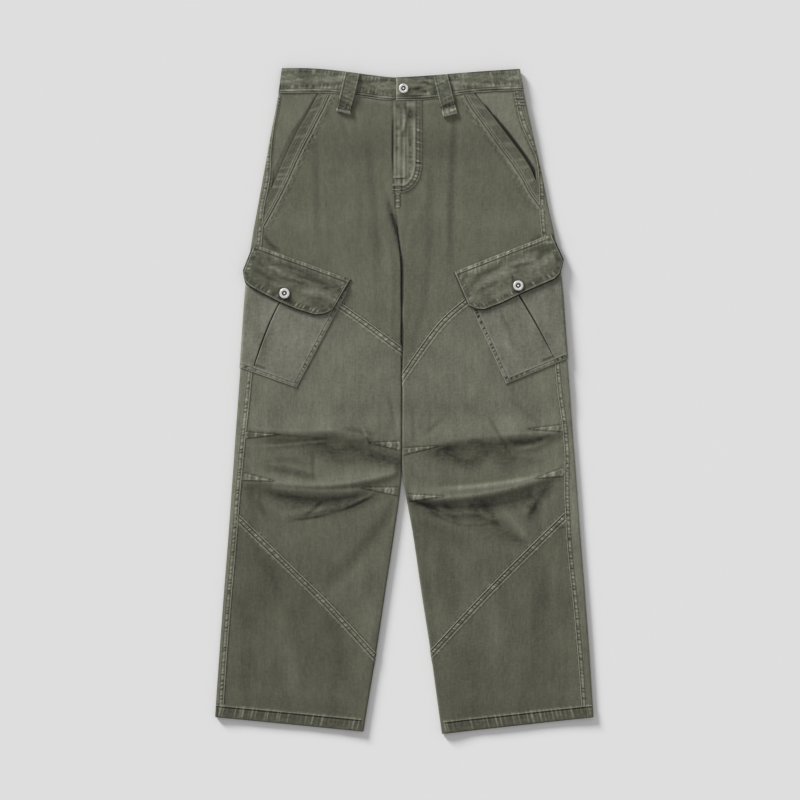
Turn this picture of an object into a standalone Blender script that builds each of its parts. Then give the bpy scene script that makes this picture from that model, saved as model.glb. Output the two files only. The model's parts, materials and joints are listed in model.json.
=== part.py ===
"""Cargo trousers lying flat on their back, front side up, as closed cloth solids.

Sizes are in millimetres until a mesh is made, which is in metres. +X is the wearer's left,
+Y points to the waist and +Z up from the surface that the garment lies on.

Each half of the garment has flat positions, as on a tape laid over the cloth: "across" starts
at the centre line, runs out over the front, round the rolled side fold and back along the
underside. "level" is the height up the garment, along Y. "rise" is a distance out of the cloth.
"""

import bpy
import numpy as np

MM = 0.001
MIRROR = {"right": -1.0, "left": 1.0}

# Cloth and seams
WALL = 1.2  # thickness of the twill
GAP = 0.3  # clearance between neighbouring pieces
SEAM_STEP = 0.22  # what each panel leaves along Y at a diagonal seam
CENTRE_STEP = 0.3  # what each half leaves at the centre seam and between the legs
FOLD = 3.0  # outside radius of the rolled folds along a leg
FELL = 6.2  # width of a felled seam's raised band
FELL_RISE = 0.5
RAMP = 1.0  # width of the slope at each side of a raised band
EDGE_STEP = 0.2  # the band starts this far from the panel's edge
HEM = 18.0  # depth of the turned hem
HEM_RISE = 0.8
CROTCH = 225.0  # level below which the legs are rolled shut at their inner edges
CROTCH_BLEND = 75.0
LEG_SAG = 1.6  # how far the front of a leg sinks on to its back between the folds
SAG_REACH = 60.0
SAG_TOP = (-48.0, 4.0)  # levels over which the sag ends, above the knee
FOLDS_FADE = 16.0  # the knee folds fade out over this distance from a leg's edges

# Waistband, loops and fly
BAND_RISE = 0.8  # the waistband stands this far out of the panels
BAND_DEPTH = 1.4  # and goes this far in
LAP = 34.0  # how far the waistband's right end runs under its left end
LAP_RISE = 1.2
LAP_DROP = 2.6
LAP_DIP = (0.5, 8.0)  # distance from the right half's seam end over which it dips under
LAP_SLOPE = (34.0, 44.0)  # distance from the left half's end over which its rise ends
BAND_ROUNDING = 1.0
FACING_DROP = 1.9  # the pocket's facing lies this far under the front at the open edge
FACING_HIDDEN = 9.0  # how far it runs on under the pocket's band
MOUTH_GAPE = {"right": 0.0, "left": 0.8}  # how far the open edge stands up
LOOP_WIDTH = 23.0
LOOP_WALL = 1.4
LOOP_SEAT = 1.0  # clearance under the loops on the back of the waistband
LOOP_EDGE = 2.6  # width of a loop's stitched edge
BACK_LOOP_FOOT = 452.0  # level of the lower ends of the loops on the back
PLACKET_WIDTH = 36.0
PLACKET_WALL = 1.0
PLACKET_FOOT = 333.0  # level of the fly's lower end
PLACKET_CURVE = 44.0  # height of the curve at that end
PLACKET_TIP = 9.0  # width left at the foot
PLACKET_ANGLES = (20.0, 40.0, 58.0, 75.0, 90.0)

# Cargo pockets, flaps and buttons
POCKET_WALL = 1.2
POCKET_FELL = 8.0
PLEAT_LIP = 0.8  # height of the two folded edges of the pleat
PLEAT_DEPTH = 0.7
PLEAT_GAP = 2.2  # half the width that the pleat opens at its middle
LIP_EDGE = 1.5  # a lip is highest this far from the groove
LIP_SLOPE = 9.0  # and ends this far from it
LIP_REACH = 10.0
POCKET_HEIGHT = 172.0
FLAP_SEAT = 2.7  # clearance under the flap where it covers the pocket
FLAP_WALL = 1.8
FLAP_DEPTH = 71.0
FLAP_BAND = 6.0  # depth of the stitched strip that holds the flap's top edge
FLAP_SLOPE = 15.0  # depth at which the flap lies on the pocket
FLAP_RIM = 7.0
RIM_RISE = 0.5

# Heights that keep the underside flat: the pieces under the back lie on z = 0.
WAIST_LIFT = LOOP_SEAT + LOOP_WALL
WAIST_LIFT_ENDS = (380.0, 435.0)
POCKET_LIFT = GAP + POCKET_WALL
POCKET_LIFT_ENDS = (-28.0, 12.0, 270.0, 308.0)


def table(heading, *rows):
    """The named columns of a table, as arrays."""
    return dict(zip(heading.split(), np.array(rows, float).T))


# Distance from the centre line to the side fold and to the centre seam or inner leg fold.
OUTLINE = table(
    "level right_side right_inner left_inner left_side",
    (530, 192.0, 13.5, -13.5, 180.0),
    (486, 198.0, 13.5, -13.5, 188.5),
    (413, 212.0, 13.5, -13.5, 204.5),
    (342, 225.0, 13.5, -13.5, 220.0),
    (295, 233.5, 13.0, -13.0, 229.5),
    (258, 240.0, 9.0, -9.0, 237.5),
    (220, 245.5, 4.5, -4.5, 243.5),
    (176, 250.0, 4.0, -4.0, 248.5),
    (129, 253.5, 4.0, -4.0, 252.0),
    (34, 260.0, 4.0, -4.0, 259.5),
    (-61, 267.0, 4.0, -4.0, 266.5),
    (-112, 270.5, 4.0, -3.5, 270.5),
    (-132, 272.0, 5.5, -0.8, 272.0),
    (-203, 277.0, 15.0, 12.0, 277.0),
    (-298, 284.5, 29.5, 26.0, 284.5),
    (-392, 291.5, 43.5, 40.5, 291.5),
    (-487, 298.0, 59.0, 53.5, 297.5),
    (-530, 300.5, 66.0, 59.5, 300.0),
)
# How much of the back panel shows on the front, between the side fold and the side seam.
SIDE_SHOWS = table(
    "level width",
    (486, 5.0), (342, 8.0), (260, 11.0), (34, 14.0), (-200, 14.0), (-300, 12.0), (-520, 11.0),
)  # fmt: skip
WAIST_TOP = table(
    "x level",
    (-194, 525.0), (-148, 524.8), (-91, 519.5), (-55, 514.5),
    (-13, 510.5), (46, 514.0), (107, 519.0), (182, 524.0),
)  # fmt: skip
WAIST_SEAM = table(
    "x level",
    (-198, 485.5), (-110, 485.0), (-73, 480.5), (-15, 474.0), (50, 477.0), (90, 484.0), (189, 490.5),
)  # fmt: skip
BACK_MIDDLE = -13.5  # x of the centre back
HEM_LINE = {
    "right": table("across level", (64, -520.5), (299, -497.5)),
    "left": table("across level", (60, -524.0), (299, -497.5)),
}
# The upper diagonal seam starts under the flap, the lower one at the side seam.
UPPER_SEAM = {
    "right": table("across level", (5, 84.5), (102, 154.0), (170, 193.0), (246, 218.0)),
    "left": table(
        "across level", (-3, 43.5), (29, 89.5), (53, 121.0), (92, 157.0), (160, 195.0), (246, 222.0)
    ),
}
LOWER_SEAM = {
    "right": table("across level", (47, -397.0), (118, -320.5), (190, -250.0), (264, -178.0)),
    "left": table("across level", (42, -393.0), (124, -305.0), (212, -217.0), (264, -166.0)),
}
# Slanted hand pocket: its open edge, and the seam where its band joins the front.
HAND_POCKET = {
    "right": table(
        "mouth mouth_level seam seam_level",
        (136, 485.4, 119, 484.6), (147, 465, 129, 463), (156, 448, 139, 444), (167, 430, 149, 424),
        (178, 408, 161, 402), (189, 385, 172, 379), (200, 360, 184, 352), (210, 336, 197, 325),
        (217, 317, 221, 280),
    ),
    "left": table(
        "mouth mouth_level seam seam_level",
        (110, 485.6, 95.5, 484.5), (126, 466, 108, 462), (142, 446, 125, 439), (158, 425, 141, 417),
        (174, 404, 157, 395), (188, 385, 173, 374), (199, 367, 187, 352), (206, 351, 199, 329),
        (213, 340, 217, 305),
    ),
}  # fmt: skip
# Folds behind the bent knee, each a soft ridge (or trough) between two ends; bow sags its middle.
KNEE_FOLDS = {
    "right": table(
        "from_across from_level to_across to_level bow height spread",
        (232, -48, 20, -54, 3, 3.6, 11), (214, -88, 120, -98, 6, -1.2, 9),
        (208, -118, 24, -112, 12, 5.0, 9), (196, -137, 70, -150, 5, -1.0, 8),
        (138, -178, 20, -152, 4, 2.2, 8), (118, -288, 10, -168, -10, 1.6, 12),
    ),
    "left": table(
        "from_across from_level to_across to_level bow height spread",
        (236, -48, 30, -52, 3, 3.6, 11), (206, -86, 80, -98, 6, -1.4, 9),
        (226, -118, 46, -146, 12, 5.0, 9), (206, -138, 70, -160, 5, -1.0, 8),
        (120, -186, 30, -160, 4, 2.0, 8),
    ),
}  # fmt: skip
FOLD_ENDS = 24.0  # length over which a fold dies out
KNEE_ZONE = (-32.0, -158.0)  # levels between which the folds need close rows
# Stitched darts that shape the knee: wide at a seam, running to a point.
DARTS = {
    "right": table(
        "base_across base_level point_across point_level width",
        (253, -53, 197, -52, 10), (256, -118, 206, -125, 12),
        (5, -70, 54, -65, 14), (6, -142, 67, -136, 14),
    ),
    "left": table(
        "base_across base_level point_across point_level width",
        (252, -42, 196, -43, 11), (254, -110, 206, -121, 14),
        (-3, -79, 55, -70, 11), (3, -152, 61, -149, 12),
    ),
}  # fmt: skip
DART_RISE = 0.6
FOOT_BAND_END = (80.0, 90.0)  # the hip's lower felled band fades out here, under the flap's corner
# Cargo pocket: flat corners, its inner side on the front and its outer side round the fold.
CARGO_POCKET = {
    "right": table("across level", (90, 172), (170, 21), (310, 71), (252, 233)),
    "left": table("across level", (89, 183), (160, 27), (309, 89), (253, 246)),
}
CARGO_FLAP = {
    "right": {"corner": (85.0, 188.5), "top_end": (239.0, 245.0)},
    "left": {"corner": (78.0, 200.5), "top_end": (233.5, 261.0)},
}
# Foot of the flap, measured along its top edge from the inner corner and down from that edge.
FLAP_FOOT = {
    "right": table(
        "along down",
        (10, 48), (13, 55), (22, 63), (35, 69.5), (64, 71), (94, 69.5), (124, 66), (146, 62.5),
        (155, 59), (161, 50), (165.5, 41),
    ),
    "left": table(
        "along down",
        (2, 50), (5, 57), (13, 65), (25, 70.5), (55, 70.5), (87, 68), (120, 66.5), (145, 65.5),
        (155, 61), (164, 50), (169.5, 41),
    ),
}  # fmt: skip
# Height of a loop's inner side over the panel, and its thickness, from its top to its folded end.
LOOP_ARCH = table(
    "share rise wall",
    (0.0, 1.1, 0.9), (0.05, 1.5, 1.4), (0.18, 2.5, 1.4), (0.36, 3.0, 1.4), (0.54, 2.7, 1.4),
    (0.72, 1.6, 1.4), (0.85, 1.0, 1.5), (0.89, 0.9, 2.6), (0.97, 0.9, 2.7), (1.0, 0.9, 1.8),
)  # fmt: skip
BUTTON_PROFILE = table(
    "radius height",
    (7.4, 0.0), (8.5, 0.7), (8.4, 1.7), (7.2, 2.9), (5.8, 3.2), (4.4, 2.8), (3.4, 1.9),
    (3.0, 1.0), (1.8, 1.0), (1.3, 1.8),
)  # fmt: skip
BUTTON_SIDES = 18
STUD_HEIGHT = 2.0
BUTTONS = {"waist": (-1.4, 492.6), "right": (188.8, 170.1), "left": (179.1, 182.2)}  # across, level
FRONT_LOOPS = {"right": (81.8, (96.3, 454.7)), "left": (56.4, (72.5, 449.7))}  # top across, foot
BACK_LOOPS = {"right": 108.0, "left": 108.0}  # across
CENTRE_LOOP = 6.0


def smooth(place, value, at):
    """A smooth curve through the values at rising or falling places, straight past its ends."""
    order = np.argsort(place)
    place, value = place[order], value[order]
    secant = np.diff(value) / np.diff(place)
    slope = np.gradient(value, place)
    slope[1:-1][secant[1:] * secant[:-1] <= 0] = 0
    at = np.asarray(at, float)
    inside = np.clip(at, place[0], place[-1])
    k = np.clip(np.searchsorted(place, inside, side="right") - 1, 0, len(place) - 2)
    span = place[k + 1] - place[k]
    t = (inside - place[k]) / span
    curved = (
        (1 + 2 * t) * (1 - t) ** 2 * value[k]
        + t * (1 - t) ** 2 * span * slope[k]
        + t * t * (3 - 2 * t) * value[k + 1]
        + t * t * (t - 1) * span * slope[k + 1]
    )
    return curved + (at - inside) * np.where(at < place[0], slope[0], slope[-1])


def ease(at, start, end):
    """0 before start, 1 after end, with a soft change between."""
    t = np.clip((at - start) / (end - start), 0, 1)
    return t * t * (3 - 2 * t)


def ramp(at, start, end):
    return np.clip((at - start) / (end - start), 0, 1)


# ---- Lines of the cut, as positions across at a level or as levels at a position across


def side_fold(side, level):
    return smooth(OUTLINE["level"], OUTLINE[side + "_side"], level)


def inner_line(side, level):
    """The centre seam above the crotch and the leg's inner fold below it."""
    return smooth(OUTLINE["level"], OUTLINE[side + "_inner"], level) + CENTRE_STEP


def inner_turn(level):
    """How far the cloth turns at its inner edge: not at all at the hip, a quarter turn on a leg."""
    return np.pi / 2 * (1 - ease(level, CROTCH, CROTCH + CROTCH_BLEND))


def inner_end(side, level):
    """Flat position of a panel's inner end, a little past the plan because of the roll."""
    turn = inner_turn(level)
    return inner_line(side, level) - FOLD * (turn - np.sin(turn)) + GAP / 2 * turn


def side_seam(side, level):
    return side_fold(side, level) - smooth(SIDE_SHOWS["level"], SIDE_SHOWS["width"], level)


def waist_line(line, side, across, under):
    """A line of the waist: curved on the front, and straight from side to middle on the back."""
    x = MIRROR[side] * across
    end = line["x"][-1 if side == "left" else 0]
    ends = smooth(line["x"], line["level"], np.array((end, BACK_MIDDLE)))
    straight = ends[0] + (ends[1] - ends[0]) * (x - end) / (BACK_MIDDLE - end)
    return np.where(under, straight, smooth(line["x"], line["level"], x))


def waist_top(side, across, under=False):
    return waist_line(WAIST_TOP, side, across, under)


def waist_seam(side, across, under=False):
    return waist_line(WAIST_SEAM, side, across, under)


def upper_seam(side, across, under=False):
    return smooth(UPPER_SEAM[side]["across"], UPPER_SEAM[side]["level"], across)


def lower_seam(side, across, under=False):
    return smooth(LOWER_SEAM[side]["across"], LOWER_SEAM[side]["level"], across)


def hem_line(side, across, under=False):
    return smooth(HEM_LINE[side]["across"], HEM_LINE[side]["level"], across)


def fold_start(side, level):
    """Flat position where the side fold starts, on the front."""
    return side_fold(side, level) - FOLD


def fold_end(side, level):
    """Flat position where the side fold ends, on the underside."""
    return fold_start(side, level) + np.pi * FOLD


def underside(side, across, level):
    """Flat position of the point of the underside that lies under a position of the front."""
    return fold_start(side, level) + fold_end(side, level) - across


def under_inner(side, level):
    return underside(side, inner_line(side, level), level)


def under_end(side, level):
    return underside(side, inner_end(side, level), level)


# ---- The form of the lying garment


def lift(level):
    """How far the whole section is raised by what lies under it."""
    waist = WAIST_LIFT * ease(level, *WAIST_LIFT_ENDS)
    foot, low, high, top = POCKET_LIFT_ENDS
    return waist + POCKET_LIFT * ease(level, foot, low) * (1 - ease(level, high, top))


def fold_relief(side, across, level):
    """Height of the knee folds over the smooth front. Each fold runs inwards from the side."""
    total = np.zeros(np.broadcast(across, level).shape)
    folds = KNEE_FOLDS[side]
    for k in range(len(folds["height"])):
        start = np.array((folds["from_across"][k], folds["from_level"][k]))
        end = np.array((folds["to_across"][k], folds["to_level"][k]))
        length = np.linalg.norm(end - start)
        way = (end - start) / length
        run = (across - start[0]) * way[0] + (level - start[1]) * way[1]
        above = (across - start[0]) * way[1] - (level - start[1]) * way[0]
        share = np.clip(run / length, 0, 1)
        from_crest = above + folds["bow"][k] * 4 * share * (1 - share)
        half = FOLD_ENDS / 2
        fade = ease(run, -half, half) * (1 - ease(run, length - half, length + half))
        total += folds["height"][k] * fade * np.exp(-((from_crest / folds["spread"][k]) ** 2))
    return total


def front_form(side, across, level):
    """Height of the front over a flat one: knee folds, and the sag of the legs on to their backs."""
    from_side = side_fold(side, level) - across
    from_inner = across - inner_line(side, level)
    from_edge = np.minimum(from_side, from_inner)
    middle = ease(from_edge, FOLD, SAG_REACH)
    off_edges = ease(from_edge, 0.0, FOLDS_FADE)
    legs = 1 - ease(level, *SAG_TOP)
    return off_edges * fold_relief(side, across, level) - LEG_SAG * middle * legs


def section(side, across, level):
    """Where a flat position lies in the section of the garment: plan position and two angles."""
    start = fold_start(side, level)
    over = across - start
    angle = np.clip(over / FOLD, 0, np.pi)
    plan = start + FOLD * np.sin(angle) + np.minimum(over, 0) - np.maximum(over - np.pi * FOLD, 0)
    turn = inner_turn(level)
    bend = inner_line(side, level) + FOLD * np.sin(turn)
    past = np.maximum(bend - plan, 0)
    rolled = np.minimum(past / FOLD, turn)
    spare = past - FOLD * rolled
    plan = np.where(past > 0, bend - FOLD * np.sin(rolled) - spare * np.cos(turn), plan)
    return plan, angle, rolled


def place(side, across, level, rise=0.0):
    """Points of the cloth's outer skin at flat positions, moved out by rise, in millimetres."""
    across, level, rise = np.broadcast_arrays(
        np.asarray(across, float), np.asarray(level, float), np.asarray(rise, float)
    )
    plan, angle, rolled = section(side, across, level)
    front = np.clip(np.cos(angle), 0, 1) * np.cos(rolled)

    def height(at_plan, at_level):
        return lift(at_level) + front * front_form(side, at_plan, at_level)

    up = np.cos(angle) * np.cos(rolled)
    step = 0.5
    slope_across = height(plan + step, level) - height(plan - step, level)
    slope_level = height(plan, level + step) - height(plan, level - step)
    normal = np.stack(
        (np.sin(angle) - np.sin(rolled) - slope_across * up, -slope_level * up, up), axis=-1
    )
    normal = normal / np.linalg.norm(normal, axis=-1, keepdims=True)
    points = np.stack((plan, level, height(plan, level) + FOLD * (1 + up)), axis=-1)
    points = points + rise[..., None] * normal
    points[..., 0] *= MIRROR[side]
    return points


def over_front(side, across, level, rise):
    """Points straight above the front, carried on flat past the side fold."""
    inside = np.minimum(across, fold_start(side, level))
    height = 2 * FOLD + lift(level) + front_form(side, inside, level) + rise
    return np.stack((MIRROR[side] * across, level + 0 * across, height), axis=-1)


# ---- Grids


def spread(near, between, far):
    """Stations on a length as (offset, share): fixed near both ends and even between them."""
    near, far = np.array(near, float), np.array(far, float)
    share = np.arange(1, between + 1) / (between + 1)
    offset = near[-1] * (1 - share) - far[-1] * share
    return (
        np.concatenate((near, offset, -far[::-1])),
        np.concatenate((0 * near, share, 0 * far + 1)),
    )


def shares(values):
    """Stations at the given shares of a length."""
    values = np.array(values, float)
    return 0 * values, values


def measure(parts, *others):
    """Stations through consecutive parts (start, end, stations), at each value of the others."""
    result = np.empty(others[0].shape)
    first = 0
    for start, end, (offset, share) in parts:
        last = first + len(offset)
        a, b = (line(*(other[first:last] for other in others)) for line in (start, end))
        length = np.abs(b - a)
        result[first:last] = a + np.sign(b - a) * (offset[:, None] + share[:, None] * length)
        first = last - 1
    return result


def count(parts):
    return 1 + sum(len(stations[0]) - 1 for _, _, stations in parts)


def grid(side, columns, rows):
    """Flat positions of a grid whose columns run between lines across and rows between levels."""
    level = np.zeros((count(rows), count(columns)))
    for _ in range(40):
        across = measure(columns, level.T).T
        plan, angle, _ = section(side, across, level)
        level = measure(rows, plan, angle > np.pi / 2)
    return across, level


def raised(distance, width, rise):
    """A flat raised band along an edge, with a short slope at each side."""
    near, far = ramp(distance, EDGE_STEP, EDGE_STEP + RAMP), ramp(distance, width, width + RAMP)
    return rise * (near - far)


def line(function, side, offset=0.0):
    """A line of the cut as a function of the grid's positions, moved by an offset."""
    return lambda *at: function(side, *at) + offset


def fixed(value):
    """A line at one level."""
    return lambda across, under: 0 * across + value


ENDS = spread((0.0,), 0, (0.0,))


def even(between):
    """Stations at both ends of a length and evenly between them."""
    return spread((0.0,), between, (0.0,))


# ---- Meshes


def cloth_material(name, colour, roughness=0.9, metallic=0.0):
    material = bpy.data.materials.new(name)
    material.use_nodes = True
    shader = material.node_tree.nodes["Principled BSDF"]
    shader.inputs["Base Color"].default_value = (*colour, 1.0)
    shader.inputs["Roughness"].default_value = roughness
    shader.inputs["Metallic"].default_value = metallic
    material.diffuse_color = (*colour, 1.0)
    return material


def make_object(name, points, faces, material):
    """An object from points in millimetres, with its faces turned to point out."""
    points = np.asarray(points, float)
    volume = 0.0
    for face in faces:
        for k in range(1, len(face) - 1):
            volume += np.linalg.det(points[[face[0], face[k], face[k + 1]]])
    if volume < 0:
        faces = [face[::-1] for face in faces]
    mesh = bpy.data.meshes.new(name)
    mesh.from_pydata((points * MM).tolist(), [], [list(map(int, face)) for face in faces])
    mesh.materials.append(material)
    mesh.shade_smooth()
    mesh.set_sharp_from_angle(angle=np.radians(40))
    piece = bpy.data.objects.new(name, mesh)
    bpy.context.scene.collection.objects.link(piece)
    return piece


def quads(first, second):
    """Faces between two rows of point numbers."""
    return list(np.stack((first[:-1], first[1:], second[1:], second[:-1]), axis=-1))


def make_sheet(name, outer, inner, material):
    """A closed wall between two grids of points with the same rows and columns."""
    rows, columns = outer.shape[:2]
    top = np.arange(rows * columns).reshape(rows, columns)
    low = top + rows * columns
    rim = np.concatenate((top[0], top[1:, -1], top[-1, -2::-1], top[-2::-1, 0]))
    faces = quads(rim[::-1], (rim + rows * columns)[::-1])
    for k in range(rows - 1):
        faces += quads(top[k], top[k + 1]) + quads(low[k + 1], low[k])
    points = np.concatenate((outer.reshape(-1, 3), inner.reshape(-1, 3)))
    return make_object(name, points, faces, material)


# ---- Panels


EDGE_ROLL = (0.0, 1.6, 3.1, 4.7, 13.0)  # stations round the roll of a leg's inner edge
SEAM_STEPS = (0.0, EDGE_STEP + RAMP, FELL, FELL + RAMP)
HEM_STEPS = (0.0, HEM, HEM + RAMP)
FOLD_SHARES = np.linspace(0, 1, 6)  # stations round a side fold
PANEL_COLUMNS = spread(SEAM_STEPS, 6, EDGE_ROLL)


def off_pocket(level):
    """0 where the cargo pocket and flap cover the side, where the seams are left flat."""
    return 1 - ease(level, 0.0, 15.0) * (1 - ease(level, 262.0, 276.0))


def hip_outer(side, level):
    """The front's outer line at the hip: the pocket's seam, and the side seam under it."""
    pocket = HAND_POCKET[side]
    seam = np.interp(-level, -pocket["seam_level"], pocket["seam"])
    below = level < pocket["seam_level"][-1]
    return np.where(below, side_seam(side, level), np.minimum(seam, side_seam(side, level))) - GAP


def dart_relief(side, across, level):
    total = np.zeros(np.broadcast(across, level).shape)
    darts = DARTS[side]
    for k in range(len(darts["width"])):
        length = darts["point_across"][k] - darts["base_across"][k]
        share = (across - darts["base_across"][k]) / length
        middle = darts["base_level"][k] + share * (darts["point_level"][k] - darts["base_level"][k])
        half = darts["width"][k] / 2 * np.clip(1 - share, 0, 1)
        inside = (share < 1) & (share > -0.3)
        total = total + DART_RISE * inside * ramp(half + 2.0 - np.abs(level - middle), 0.0, 2.0)
    return total * ramp(across - inner_line(side, level), 1.0, 5.0)


def hip_rows(side):
    """Rows of the hip: a row for each row of the hand pocket's seam, then the lower seam's."""
    pocket = HAND_POCKET[side]
    top = waist_seam(side, pocket["seam"])
    foot = upper_seam(side, pocket["seam"])
    down = (top - pocket["seam_level"]) / (top - foot)
    down[0] = 0.0
    between = (down[-1] + 0.95) / 2
    bottom = np.array(SEAM_STEPS[::-1])
    offset = np.concatenate((0 * down, (0.0,), -bottom))
    return offset, np.concatenate((down, (between,), 0 * bottom + 1))


def make_hip_front(side, material):
    across, level = grid(
        side,
        [(line(hip_outer, side), line(inner_end, side), PANEL_COLUMNS)],
        [(line(waist_seam, side, -GAP), line(upper_seam, side, SEAM_STEP), hip_rows(side))],
    )
    side_band = raised(hip_outer(side, level) - across, FELL, FELL_RISE) * off_pocket(level)
    foot_band = raised(level - upper_seam(side, across), FELL, FELL_RISE)
    foot_band *= 1 - ease(across, *FOOT_BAND_END)
    outer = place(side, across, level, np.maximum(side_band, foot_band))
    make_sheet("hip_front_" + side, outer, place(side, across, level, -WALL), material)


def make_knee_front(side, material):
    high, low = KNEE_ZONE
    across, level = grid(
        side,
        [(line(side_seam, side, -GAP), line(inner_end, side), PANEL_COLUMNS)],
        [
            (line(upper_seam, side, -SEAM_STEP), fixed(high), even(4)),
            (fixed(high), fixed(low), even(17)),
            (fixed(low), line(lower_seam, side, SEAM_STEP), even(4)),
        ],
    )
    from_outer = side_seam(side, level) - GAP - across
    relief = raised(from_outer, FELL, FELL_RISE) * off_pocket(level)
    relief = np.maximum(relief, dart_relief(side, across, level))
    outer = place(side, across, level, relief)
    make_sheet("knee_front_" + side, outer, place(side, across, level, -WALL), material)


def hem_relief(side, across, level):
    return HEM_RISE * (1 - ramp(level - hem_line(side, across), HEM, HEM + RAMP))


def make_shin_front(side, material):
    across, level = grid(
        side,
        [(line(side_seam, side, -GAP), line(inner_end, side), PANEL_COLUMNS)],
        [(line(lower_seam, side, -SEAM_STEP), line(hem_line, side), spread(SEAM_STEPS, 5, HEM_STEPS))],
    )
    relief = raised(side_seam(side, level) - GAP - across, FELL, FELL_RISE)
    relief = np.maximum(relief, raised(lower_seam(side, across) - level, FELL, FELL_RISE))
    relief = np.maximum(relief, hem_relief(side, across, level))
    outer = place(side, across, level, relief)
    make_sheet("shin_front_" + side, outer, place(side, across, level, -WALL), material)


def make_back(side, material):
    """Back panel: the strip that shows at the side, the side fold and the whole underside."""
    rows = [
        (line(waist_seam, side, -GAP), fixed(440.0), ENDS),
        (fixed(440.0), fixed(370.0), even(2)),
        (fixed(370.0), fixed(310.0), even(1)),
        (fixed(310.0), fixed(215.0), even(5)),
        (fixed(215.0), fixed(12.0), even(4)),
        (fixed(12.0), fixed(-28.0), even(2)),
        (fixed(-28.0), fixed(-110.0), even(1)),
        (fixed(-110.0), line(hem_line, side), spread((0.0,), 5, HEM_STEPS)),
    ]
    across, level = grid(
        side,
        [
            (line(side_seam, side), line(fold_start, side), ENDS),
            (line(fold_start, side), line(fold_end, side), shares(FOLD_SHARES)),
            (line(fold_end, side), line(under_end, side), spread((0.0,), 2, EDGE_ROLL)),
        ],
        rows,
    )
    plan, angle, _ = section(side, across, level)
    outer = place(side, across, level, hem_relief(side, plan, level) * (1 - ramp(angle, 0.3, 1.2)))
    make_sheet("back_" + side, outer, place(side, across, level, -WALL), material)


def band_end(side, level):
    """The waistband's front end: the right one runs on under the left one."""
    return inner_line(side, level) - (LAP if side == "right" else 0.0)


def make_waistband(side, material):
    """Half of the waistband: along the front, round the side and to the middle of the back."""
    near_end = {"right": (0.0, *(LAP + np.array(LAP_DIP))), "left": (0.0, *LAP_SLOPE)}[side]
    edge = (0.0, BAND_ROUNDING, 6.0)
    across, level = grid(
        side,
        [
            (line(band_end, side), line(fold_start, side), spread(near_end, 6, (0.0,))),
            (line(fold_start, side), line(fold_end, side), shares(FOLD_SHARES)),
            (line(fold_end, side), line(under_inner, side), even(4)),
        ],
        [(line(waist_top, side), line(waist_seam, side), spread(edge, 0, edge))],
    )
    from_end = across - inner_line(side, level)
    lap = {
        "right": -LAP_DROP * (1 - ramp(from_end, *LAP_DIP)),
        "left": LAP_RISE * (1 - ramp(from_end, *LAP_SLOPE)),
    }[side]
    from_edge = np.minimum(waist_top(side, across) - level, level - waist_seam(side, across))
    on_front = across < fold_start(side, level)
    rounding = 0.4 * (1 - ramp(from_edge, 0.0, BAND_ROUNDING)) * on_front
    outer = place(side, across, level, BAND_RISE + lap - rounding)
    make_sheet("waistband_" + side, outer, place(side, across, level, lap - BAND_DEPTH), material)


# ---- Hand pockets and fly


def mouth_line(side, level):
    pocket = HAND_POCKET[side]
    return np.interp(-level, -pocket["mouth_level"], pocket["mouth"])


def facing_inner(side, level):
    """Inner edge of the pocket's facing, hidden under the pocket's band."""
    return np.minimum(mouth_line(side, level), side_seam(side, level)) - FACING_HIDDEN


def make_pocket_facing(side, material):
    """The cloth seen behind the open edge, which runs on under the pocket's band."""
    foot = HAND_POCKET[side]["mouth_level"][-1] - 8.0
    across, level = grid(
        side,
        [(line(side_seam, side, -GAP), line(facing_inner, side), spread((0.0,), 2, (0.0, 8.5)))],
        [(line(waist_seam, side, -GAP), fixed(foot), even(6))],
    )
    shows = side_seam(side, level) - mouth_line(side, level)
    drop = FACING_DROP * (1 - ramp(shows, 4.0, 26.0))
    share = ramp(side_seam(side, level) - across, 0.0, np.maximum(shows - 6.0, 1.0))
    rise = -(drop + (FACING_DROP - drop) * share)
    outer = place(side, across, level, rise)
    make_sheet("pocket_facing_" + side, outer, place(side, across, level, rise - WALL), material)


# Stations of a hand pocket's band, from its open edge to its seam.
BAND_PROFILE = table(
    "share stitched",
    (0.0, 0.0), (0.08, 1.0), (0.45, 1.0), (0.55, 0.0), (1.0, 0.0),
)  # fmt: skip


def make_pocket_band(side, material):
    """The strip between the pocket's open edge and its seam, level with the front."""
    pocket = HAND_POCKET[side]
    share = BAND_PROFILE["share"]
    mouth = np.stack((pocket["mouth"], pocket["mouth_level"]), axis=-1)
    seam = np.stack((pocket["seam"], pocket["seam_level"]), axis=-1)
    flat = mouth[:, None] * (1 - share[:, None]) + seam[:, None] * share[:, None]
    across, level = flat[..., 0], flat[..., 1]
    across[:, -1] += 0.05
    across[-1] = side_seam(side, level[-1]) - GAP
    level[0] = waist_seam(side, across[0]) - GAP
    open_part = np.sin(np.pi * np.linspace(0, 1, len(mouth)))[:, None]
    bend = MOUTH_GAPE[side] * open_part * (1 - share) ** 2
    outer = place(side, across, level, bend + FELL_RISE * BAND_PROFILE["stitched"])
    make_sheet("pocket_band_" + side, outer, place(side, across, level, bend - WALL), material)


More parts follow.
